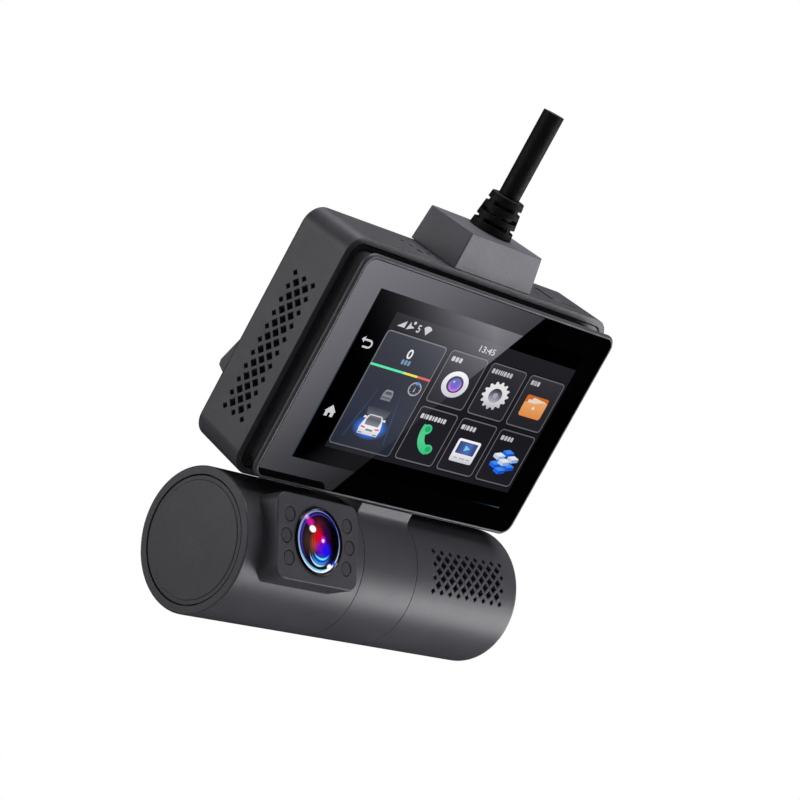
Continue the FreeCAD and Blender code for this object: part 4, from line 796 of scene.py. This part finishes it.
def cars(sheet):
    cx = -18.8
    beam = lit_ramp("beam", 2, -7.0, -5.0, shades((0.0, 96, 99, 110), (1.0, 58, 61, 74)))
    sheet.face([(cx - 3.2, -7.2), (cx + 3.2, -7.2), (cx + 4.0, -5.1), (cx - 4.0, -5.1)], 5, beam)
    ahead = lit_ramp("car_ahead", 2, -3.0, -0.4, shades((0.0, 120, 122, 130), (1.0, 146, 148, 156)))
    dark = lit("car_ahead_glass", linear(84, 86, 96))
    body = [(-1.65, -3.0), (1.65, -3.0), (1.7, -1.6), (1.25, -0.5), (0.8, -0.35), (-0.8, -0.35),
            (-1.25, -0.5), (-1.7, -1.6)]
    sheet.face([(cx + x, z) for x, z in body], 5, ahead)
    sheet.face([(cx + x, z) for x, z in ((-1.2, -1.5), (1.2, -1.5), (0.9, -0.75), (-0.9, -0.75))], 6, dark)
    sheet.face([(cx + x, z) for x, z in ((-1.5, -2.5), (1.5, -2.5), (1.5, -2.2), (-1.5, -2.2))], 6, dark)
    stops = shades((0.0, 40, 110, 240), (0.62, 46, 118, 240), (0.78, 50, 88, 160), (1.0, 46, 51, 66))
    sheet.face(oval(cx, -10.1, 5.9, 3.1), 5, lit_round("car_glow", cx, -10.1, 5.9, 3.1, stops))
    white = lit_ramp("car_body", 2, -12.2, -6.8,
                     shades((0.0, 204, 206, 212), (0.4, 238, 239, 242), (1.0, 214, 216, 222)))
    shell = [(-3.3, -12.0), (3.3, -12.0), (3.55, -10.4), (3.2, -9.0), (2.6, -7.4), (1.9, -6.9), (-1.9, -6.9),
             (-2.6, -7.4), (-3.2, -9.0), (-3.55, -10.4)]
    sheet.face([(cx + x, z) for x, z in shell], 6, white)
    for side in (-1, 1):
        mirror = [(2.6, -8.0), (3.75, -8.1), (3.6, -7.5), (2.9, -7.5)]
        sheet.face([(cx + side * x, z) for x, z in mirror], 6, white)
    roof = lit_ramp("car_roof", 2, -9.6, -7.0,
                    shades((0.0, 134, 136, 144), (0.6, 88, 90, 98), (1.0, 120, 122, 128)))
    glass = [(-2.3, -9.6), (2.3, -9.6), (2.45, -8.3), (1.9, -7.15), (-1.9, -7.15), (-2.45, -8.3)]
    sheet.face([(cx + x, z) for x, z in glass], 7, roof)
    red = lit("tail_light", linear(216, 62, 60))
    grey = lit("car_bumper", linear(128, 130, 140))
    for side in (-1, 1):
        lamp = [(1.7, -10.5), (3.1, -10.35), (3.2, -10.0), (1.7, -10.15)]
        sheet.face([(cx + side * x, z) for x, z in lamp], 7, red)
        vent = [(1.9, -11.8), (3.1, -11.8), (3.1, -11.5), (1.9, -11.5)]
        sheet.face([(cx + side * x, z) for x, z in vent], 7, grey)
    sheet.face([(cx + x, z) for x, z in ((-1.2, -11.0), (1.2, -11.0), (1.1, -10.5), (-1.1, -10.5))], 7, grey)


def lens_icon(sheet):
    cx, cz = 0.1, 5.3
    white = lit_ramp("icon_ring", 2, 2, 8.6, shades((0.0, 206, 202, 216), (1.0, 250, 250, 252)))
    sheet.band(oval(cx, cz, 4.4, 3.35), oval(cx, cz, 2.75, 2.15), 5, white)
    dark = lit("icon_ring_dark", linear(60, 64, 70))
    sheet.face(oval(cx, cz, 2.8, 2.2), 5, dark)
    stops = shades((0.0, 90, 110, 140), (0.35, 96, 104, 190), (0.7, 120, 90, 214), (1.0, 200, 120, 236))
    sheet.face(oval(cx + 0.05, cz - 0.1, 2.05, 1.7), 6, lit_round("icon_iris", cx, cz + 0.5, 2.1, 2.1, stops))
    sheet.face(oval(cx - 0.7, cz + 0.6, 0.35, 0.25, 14), 7, lit("icon_glint", linear(196, 214, 244)))


def gear_icon(sheet):
    cx, cz = 15.0, 5.5
    white = lit_ramp("icon_gear", 2, 1.9, 9.1,
                     shades((0.0, 190, 190, 198), (0.4, 238, 238, 242), (1.0, 255, 255, 255)))
    teeth = 14
    outer, inner = [], []
    for k in range(teeth * 4):
        a = 2 * math.pi * (k + 0.5) / (teeth * 4)
        r = 1.0 if k % 4 in (0, 1) else 0.83
        outer.append((cx + 4.7 * r * math.cos(a), cz + 3.65 * r * math.sin(a)))
        inner.append((cx + 2.3 * math.cos(a), cz + 1.85 * math.sin(a)))
    sheet.band(outer, inner, 5, white)
    hub = lit_ramp("icon_gear_hub", 2, 3.6, 7.4,
                   shades((0.0, 196, 196, 204), (0.5, 120, 122, 134), (1.0, 26, 26, 44)))
    sheet.face(oval(cx, cz, 2.35, 1.9), 5, hub)
    sheet.face(oval(cx, cz, 0.9, 0.75, 20), 6, lit("icon_gear_pin", linear(176, 178, 188)))


def folder_icon(sheet):
    back = lit("icon_folder_back", linear(222, 118, 44))
    front = lit_ramp("icon_folder_front", 2, 2.7, 7.0, shades((0.0, 246, 150, 84), (1.0, 255, 186, 118)))
    paper = lit("icon_folder_paper", linear(252, 232, 212))
    sheet.face(rounded(25.7, 4.0, 34.1, 8.3, 0.6), 5, back)
    sheet.face([(26.8, 5.0), (33.4, 5.0), (33.4, 7.4), (28.6, 7.9), (27.9, 7.2), (26.8, 7.2)], 6, paper)
    flap = [(25.8, 3.2), (26.3, 2.7), (33.6, 2.7), (34.1, 3.2), (34.1, 7.0), (33.9, 7.2), (32.4, 7.2),
            (29.4, 6.4), (26.0, 6.4), (25.8, 6.2)]
    sheet.face(flap, 7, front)
    sheet.face(oval(29.9, 5.2, 0.5, 0.4, 16), 8, lit("icon_folder_dot", linear(255, 244, 232)))


def phone_icon(sheet):
    green = lit_ramp("icon_phone", 2, -13.4, -6.2,
                     shades((0.0, 58, 190, 122), (0.5, 82, 206, 142), (1.0, 76, 200, 136)))
    dark = lit("icon_phone_pad", linear(34, 172, 108))
    arc = []
    for k in range(17):
        a = math.radians(162 + 104 * k / 16)
        arc.append((2.9 + 4.6 * math.cos(a), -7.4 + 4.6 * math.sin(a)))
    stroke(sheet, arc, 1.05, 5, green)
    for cx, cz, rx, rz in ((-0.9, -6.9, 1.6, 1.3), (2.5, -11.6, 1.7, 1.25)):
        sheet.face(oval(cx, cz, rx, rz), 6, green)
    for cx, cz in ((-0.7, -6.8), (2.7, -11.5)):
        sheet.face(oval(cx, cz, 0.95, 0.75, 24), 7, dark)


def video_icon(sheet):
    frame_paint = lit_ramp("icon_player", 2, -12.8, -6.6,
                           shades((0.0, 204, 202, 210), (0.4, 240, 240, 244), (1.0, 255, 255, 255)))
    glass = lit_ramp("icon_player_glass", 0, 11.9, 18.8,
                     shades((0.0, 58, 70, 120), (0.6, 84, 110, 180), (1.0, 44, 58, 108)))
    sheet.face(rounded(11.1, -12.7, 19.4, -6.7, 0.6), 5, frame_paint)
    sheet.face(rounded(11.9, -10.5, 18.6, -7.3, 0.25), 6, glass)
    sheet.face([(14.5, -9.7), (16.5, -8.9), (14.5, -8.1)], 7, lit("icon_player_arrow", linear(112, 206, 255)))
    grey = lit("icon_player_keys", linear(170, 170, 182))
    for x0, x1 in ((12.4, 13.6), (14.4, 16.4), (17.0, 18.2)):
        sheet.face([(x0, -11.8), (x1, -11.8), (x1, -11.5), (x0, -11.5)], 6, grey)


CUBE_LEAN = 0.87                           # about the cosine of 30 degrees


def cube(sheet, cx, cz, s, top, left, right, level):
    """A cube seen corner on: its top and its two front faces."""
    h = s * 0.5
    wide = 2 * s * CUBE_LEAN
    sheet.face([(cx, cz + 2 * h), (cx + wide, cz + h), (cx, cz), (cx - wide, cz + h)], level, top)
    for side, paint in ((-1, left), (1, right)):
        edge = cx + side * wide
        sheet.face([(cx, cz), (cx, cz - 1.5 * h), (edge, cz - 0.5 * h), (edge, cz + h)], level, paint)


def cubes_icon(sheet):
    blue = [lit("cube_blue_top", linear(72, 150, 255)), lit("cube_blue_left", linear(30, 112, 248)),
            lit("cube_blue_right", linear(20, 88, 214))]
    white = [lit("cube_white_top", linear(250, 252, 255)), lit("cube_white_left", linear(206, 222, 250)),
             lit("cube_white_right", linear(150, 184, 246))]
    s = 1.2
    for cx, cz, colours, level in ((30.1, -7.5, blue, 5), (27.6, -10.9, blue, 6), (32.6, -10.9, blue, 6),
                                   (27.5, -8.7, white, 7), (32.7, -8.7, white, 7), (30.1, -12.2, blue, 8),
                                   (30.1, -9.9, white, 9)):
        cube(sheet, cx, cz, s, *colours, level)


def interface():
    sheet = Sheet()
    bed = lit_ramp("screen_bed", 2, -17, 17.4,
                   shades((0.0, 31, 30, 35), (0.5, 29, 28, 32), (1.0, 38, 37, 42)))
    x0, z0, x1, z1 = SCREEN
    sheet.face([(x0, z0), (x1, z0), (x1, z1), (x0, z1)], 2, bed)
    white = lit("icon_white", linear(204, 204, 208))
    status_row(sheet, white)
    side_icons(sheet, white)
    speed_card(sheet)
    paper = [lit_ramp("card_upper", 2, -0.4, 13.2,
                      shades((0.0, 40, 39, 45), (0.6, 48, 47, 53), (1.0, 60, 58, 64))),
             lit_ramp("card_lower", 2, -15.6, -1.6, shades((0.0, 34, 33, 39), (1.0, 31, 30, 36)))]
    line = [lit("card_upper_line", linear(112, 112, 118)), lit("card_lower_line", linear(108, 108, 114))]
    shade = lit("card_shade", linear(20, 20, 23))
    for r, (low, high) in enumerate(ROWS):
        for left, right in COLUMNS:
            card(sheet, (left, low, right, high), paper[r], line[r], shade, 3)
    caption = lit("caption", linear(205, 205, 209))
    label(sheet, -5.3, 11.1, [1.1, 1.0, 1.0], caption, 5)
    label(sheet, 9.6, 11.2, [0.9, 0.8, 0.5, 0.5, 0.3, 0.9, 0.8, 0.8], caption, 5)
    label(sheet, 24.5, 11.3, [0.9, 0.3, 0.3, 0.9], caption, 5)
    label(sheet, -5.2, -4.0, [1.0, 0.3, 0.8, 0.9, 0.5, 0.9, 0.9, 0.5, 0.9], caption, 5)
    label(sheet, 9.6, -3.9, [1.1, 0.3, 0.9, 0.9, 0.9], caption, 5)
    label(sheet, 24.6, -3.8, [1.1, 0.9, 0.9, 0.8], caption, 5)
    lens_icon(sheet)
    gear_icon(sheet)
    folder_icon(sheet)
    phone_icon(sheet)
    video_icon(sheet)
    cubes_icon(sheet)
    sheet.finish("screen_image", "head")


interface()


# ---- cabin lens ----
def lens_place():
    """The lens plane's own frame: x across, y up, z out of the barrel."""
    bush_low, bush_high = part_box("bearing_bushes")
    dome_low, dome_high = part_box("lens_dome")
    axis = Vector((0, (bush_low.y + bush_high.y) / 2, (bush_low.z + bush_high.z) / 2))
    out = Vector((0, -math.cos(LENS_PITCH), math.sin(LENS_PITCH)))
    up = Vector((0, math.sin(LENS_PITCH), math.cos(LENS_PITCH)))
    centre = axis + out * LENS_REACH
    centre.x = (dome_low.x + dome_high.x) / 2
    basis = Matrix((Vector((1, 0, 0)), up, out)).transposed().to_4x4()
    return Matrix.Translation(centre) @ basis, (dome_high.x - dome_low.x) / 2


def lens_paint(radius):
    """The dark stepped barrel under the glass, with the coloured reflections of the coated glass and white
    highlights painted over it; the colours also glow a little.
    """
    p = Paint("lens_painted_reflections")
    flat = p.add("ShaderNodeVectorMath", operation="MULTIPLY")
    flat.inputs[1].default_value = (1 / radius, 1 / radius, 0)
    p.link(p.place, flat.inputs[0])
    spot = flat.outputs[0]

    def away(cx, cy, rx, ry):
        shift = p.add("ShaderNodeVectorMath", operation="SUBTRACT")
        shift.inputs[1].default_value = (cx, cy, 0)
        p.link(spot, shift.inputs[0])
        size = p.add("ShaderNodeVectorMath", operation="DIVIDE")
        size.inputs[1].default_value = (rx, ry, 1)
        p.link(shift.outputs[0], size.inputs[0])
        length = p.add("ShaderNodeVectorMath", operation="LENGTH")
        p.link(size.outputs[0], length.inputs[0])
        return length.outputs["Value"]

    def over(base, amount, colour):
        return p.mix(amount, base, colour)

    def patch(base, cx, cy, rx, ry, colour, inner=0.3, strength=1.0):
        return over(base, p.spread(away(cx, cy, rx, ry), strength, 0.0, inner, 1.0), colour)

    def crescent(base, reach, cut, colour, soft=0.04, strength=1.0):
        """What lies inside one oval and outside another."""
        inside = p.spread(away(*reach), strength, 0.0, 1 - soft, 1.0)
        outside = p.spread(away(*cut), 0.0, 1.0, 1 - soft, 1.0)
        return over(base, p.math("MULTIPLY", inside, outside), colour)

    r = away(0, 0, 1, 1)
    steps = p.math("SINE", p.math("MULTIPLY", r, 70.0))
    ridges = p.ramp(p.spread(steps, 0.0, 1.0, -1.0, 1.0), shades((0.1, 3, 3, 5), (0.9, 22, 20, 26)))
    # Painted reflections: the coloured patches and crescents of the coatings and the white painted
    # highlights, laid over the dark ridges.
    tone = patch(ridges, 0.62, 0.12, 0.5, 0.8, linear(3, 3, 5), 0.4)
    tone = patch(tone, -0.6, -0.05, 0.3, 0.5, linear(64, 44, 38), 0.2, 0.7)
    tone = patch(tone, -0.15, 0.48, 0.4, 0.34, linear(84, 20, 44), 0.1, 0.9)
    tone = patch(tone, 0.16, 0.16, 0.3, 0.42, linear(48, 8, 74), 0.1, 0.9)
    tone = patch(tone, -0.36, -0.12, 0.22, 0.36, linear(214, 96, 50), 0.1, 0.55)
    tone = patch(tone, -0.22, 0.1, 0.3, 0.44, linear(206, 8, 26), 0.3)
    tone = patch(tone, -0.02, -0.26, 0.36, 0.3, linear(120, 10, 200), 0.2)
    tone = patch(tone, 0.16, -0.3, 0.34, 0.34, linear(22, 16, 226), 0.3)
    tone = patch(tone, 0.0, -0.58, 0.5, 0.2, linear(24, 66, 190), 0.2, 0.8)
    tone = crescent(tone, (0.0, -0.25, 0.4, 0.37), (0.0, -0.19, 0.46, 0.37), linear(96, 204, 226), 0.08)
    tone = crescent(tone, (-0.02, -0.3, 0.46, 0.47), (0.0, -0.24, 0.52, 0.47), linear(52, 138, 206), 0.1, 0.9)
    tone = crescent(tone, (-0.04, -0.32, 0.5, 0.5), (0.0, -0.28, 0.56, 0.5), linear(184, 226, 236), 0.05, 0.9)
    rings = p.math("SINE", p.math("MULTIPLY", away(0.0, -0.06, 1, 1), 92.0))
    dark_rings = p.spread(rings, 0.0, 0.8, 0.0, 1.0)
    within = p.spread(r, 1.0, 0.0, 0.45, 0.6)
    tone = over(tone, p.math("MULTIPLY", dark_rings, within), linear(26, 3, 26))
    tone = patch(tone, -0.5, 0.55, 0.19, 0.17, linear(196, 20, 140), 0.4)
    tone = patch(tone, 0.02, 0.03, 0.15, 0.15, linear(186, 24, 232), 0.1)
    tone = patch(tone, 0.0, 0.0, 0.07, 0.065, linear(252, 236, 255), 0.5)
    tone = patch(tone, -0.43, 0.33, 0.15, 0.13, linear(226, 236, 236), 0.7)
    tone = crescent(tone, (0, 0, 0.9, 0.9), (0.03, -0.03, 0.89, 0.89), linear(70, 44, 176), 0.04, 0.8)
    tone = crescent(tone, (0, 0, 1.0, 1.0), (-0.02, 0.0, 0.97, 0.98), linear(30, 72, 206), 0.02, 0.9)
    tone = crescent(tone, (0, 0, 1.0, 1.0), (0.04, -0.01, 0.975, 0.975), linear(150, 168, 216), 0.03, 0.7)
    tone = crescent(tone, (0, 0, 0.97, 0.97), (0.0, 0.05, 0.97, 0.97), linear(110, 190, 222), 0.04)
    tone = crescent(tone, (0, 0, 1.0, 1.0), (-0.01, 0.03, 0.99, 0.99), linear(224, 226, 234), 0.02)
    tone = patch(tone, 0.48, -0.76, 0.16, 0.11, linear(234, 234, 240), 0.5)
    tone = patch(tone, 0.7, -0.62, 0.12, 0.1, linear(28, 36, 226), 0.3)
    tone = patch(tone, -0.62, 0.72, 0.13, 0.12, linear(222, 160, 222), 0.2)
    p.link(tone, p.shader.inputs["Base Color"])
    # Painted glow: the same colours also shine by themselves.
    p.link(tone, p.shader.inputs["Emission Color"])
    p.link(p.spread(p.noise(900, 3), 0.03, 0.08, 0.3, 0.7), p.shader.inputs["Roughness"])
    p.set(Emission_Strength=0.5, Coat_Weight=0.6, Coat_Roughness=0.02, Specular_IOR_Level=0.5)
    return p.material


def lens():
    """The bulging front element as a fine dome; a small bright window's reflection and the coatings' coloured
    reflections are painted into its colour.
    """
    place, radius = lens_place()
    rise, rings, spokes = DOME_RISE, 22, 72
    ball = (radius * radius + rise * rise) / (2 * rise)
    mesh = bmesh.new()
    apex = mesh.verts.new((0, 0, DOME_SEAT + rise))
    rows = []
    for i in range(1, rings + 1):
        out = radius * i / rings
        height = DOME_SEAT + rise - ball + math.sqrt(ball * ball - out * out)
        row = []
        for k in range(spokes):
            a = 2 * math.pi * k / spokes
            row.append(mesh.verts.new((out * math.cos(a), out * math.sin(a), height)))
        rows.append(row)
    for k in range(spokes):
        after = (k + 1) % spokes
        mesh.faces.new((apex, rows[0][k], rows[0][after]))
        for inner, outer in zip(rows, rows[1:]):
            mesh.faces.new((inner[k], outer[k], outer[after], inner[after]))
    for face in mesh.faces:
        face.smooth = True
    data = bpy.data.meshes.new("lens_front")
    mesh.to_mesh(data)
    mesh.free()
    data.materials.append(lens_paint(radius))
    item = bpy.data.objects.new("lens_front", data)
    bpy.context.collection.objects.link(item)
    item.matrix_world = place
    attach(item, "barrel")
    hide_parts("lens_dome")


LENS_REACH = 20.4 * MM
DOME_SEAT, DOME_RISE = 0.1 * MM, 1.3 * MM
lens()


# ---- stage ----
def world():
    surroundings = bpy.data.worlds.new("world")
    bpy.context.scene.world = surroundings
    surroundings.use_nodes = True
    tree = surroundings.node_tree
    tree.nodes.clear()
    out = tree.nodes.new("ShaderNodeOutputWorld")
    path = tree.nodes.new("ShaderNodeLightPath")
    seen = tree.nodes.new("ShaderNodeBackground")
    seen.inputs["Color"].default_value = (1, 1, 1, 1)
    seen.inputs["Strength"].default_value = 1.0
    soft = tree.nodes.new("ShaderNodeBackground")
    soft.inputs["Color"].default_value = (0.97, 0.97, 1.0, 1)
    soft.inputs["Strength"].default_value = 0.15
    mirror = tree.nodes.new("ShaderNodeBackground")
    mirror.inputs["Color"].default_value = (0.0, 0.0, 0.0, 1)
    mirror.inputs["Strength"].default_value = 0.0
    glossy = tree.nodes.new("ShaderNodeMixShader")
    camera_mix = tree.nodes.new("ShaderNodeMixShader")
    tree.links.new(path.outputs["Is Glossy Ray"], glossy.inputs[0])
    tree.links.new(soft.outputs[0], glossy.inputs[1])
    tree.links.new(mirror.outputs[0], glossy.inputs[2])
    tree.links.new(path.outputs["Is Camera Ray"], camera_mix.inputs[0])
    tree.links.new(glossy.outputs[0], camera_mix.inputs[1])
    tree.links.new(seen.outputs[0], camera_mix.inputs[2])
    tree.links.new(camera_mix.outputs[0], out.inputs["Surface"])


def floor():
    """Pale paper under the object, evenly bright to the camera."""
    level = cad_low.z - 0.06
    data = bpy.data.meshes.new("floor")
    data.from_pydata([(-6, -6, level), (6, -6, level), (6, 6, level), (-6, 6, level)], [], [(0, 1, 2, 3)])
    item = bpy.data.objects.new("floor", data)
    bpy.context.collection.objects.link(item)
    p = Paint("floor_paper")
    paper = p.ramp(p.noise(30, 4), [(0.3, (0.80, 0.80, 0.80)), (0.7, (0.84, 0.84, 0.84))])
    p.link(paper, p.shader.inputs["Base Color"])
    p.set(Roughness=0.9)
    bright = p.add("ShaderNodeEmission")
    bright.inputs["Strength"].default_value = 1.0
    seen = p.add("ShaderNodeLightPath")
    blend = p.add("ShaderNodeMixShader")
    p.link(seen.outputs["Is Camera Ray"], blend.inputs[0])
    p.link(p.shader.outputs["BSDF"], blend.inputs[1])
    p.link(bright.outputs[0], blend.inputs[2])
    p.link(blend.outputs[0], p.out.inputs["Surface"])
    data.materials.append(p.material)
    item.visible_glossy = False


def area(name, place, target, size, power):
    data = bpy.data.lights.new(name, "AREA")
    data.shape = "RECTANGLE"
    data.size, data.size_y = size
    data.energy = power
    item = bpy.data.objects.new(name, data)
    bpy.context.collection.objects.link(item)
    item.location = place
    item.rotation_mode = "QUATERNION"
    item.rotation_quaternion = (Vector(target) - Vector(place)).to_track_quat("-Z", "Y")
    item.visible_camera = False
    return item


def lights():
    """Four soft boxes round the object's middle, in metres and watts. One is kept off the glass."""
    middle = (cad_low + cad_high) / 2
    key = area("front_right", middle + Vector((0.30, -0.48, -0.05)), middle, (0.25, 0.25), 2.3)
    key.visible_glossy = False
    sheen = area("sheen", middle + Vector((0.42, -0.24, -0.10)), middle + Vector((0.03, 0, -0.03)),
                 (0.42, 0.24), 1.35)
    spared = bpy.data.collections.new("glass_without_sheen")
    sheen.light_linking.receiver_collection = spared
    for glassy in (frame["nodes"]["cover_glass"], bpy.data.objects["screen_window"],
                   bpy.data.objects["screen_image"]):
        spared.objects.link(glassy)
    for member in spared.collection_objects:
        member.light_linking.link_state = "EXCLUDE"
    area("top", middle + Vector((0.1, 0.15, 0.7)), middle, (0.5, 0.5), 7.6)
    area("left", middle + Vector((-0.65, 0.42, -0.02)), middle, (0.4, 0.5), 1.62)


def glare_panel():
    """A soft panel in front whose straight edge shows as the slanted line across the glass."""
    image = Vector((EYE.x, 2 * GLASS.y - EYE.y, EYE.z))
    reach = 4.2

    def thrown(u, w):
        on_glass = GLASS + Vector((u * MM, 0, w * MM))
        return image + (on_glass - image) * reach

    slope = -DIAGONAL.z / DIAGONAL.x
    corners = [thrown(DIAGONAL_X + slope * 75, 75), thrown(DIAGONAL_X - slope * 60, -60), thrown(-120, -60),
               thrown(-120, 75)]
    data = bpy.data.meshes.new("glare_panel")
    data.from_pydata(corners, [], [(0, 1, 2, 3)])
    item = bpy.data.objects.new("glare_panel", data)
    bpy.context.collection.objects.link(item)
    p = Paint("glare")
    split = p.add("ShaderNodeSeparateXYZ")
    p.link(p.place, split.inputs[0])
    fall = p.math("SUBTRACT", split.outputs[0], split.outputs[2])
    start, end = thrown(-44, 27), thrown(0, -4)
    fade = p.spread(fall, 0.0, 1.0, start.x - start.z, end.x - end.z)
    glow = p.add("ShaderNodeEmission")
    tone = p.ramp(fade, [(0.0, (1.0, 1.0, 1.12)), (0.36, (0.68, 0.68, 0.77)), (0.68, (0.33, 0.33, 0.37)),
                         (1.0, (0.11, 0.11, 0.125))])
    p.link(tone, glow.inputs["Color"])
    glow.inputs["Strength"].default_value = 3.4
    p.link(glow.outputs[0], p.out.inputs["Surface"])
    data.materials.append(p.material)
    item.visible_camera = False
    item.visible_diffuse = False
    item.visible_shadow = False


world()
floor()
glare_panel()
lights()
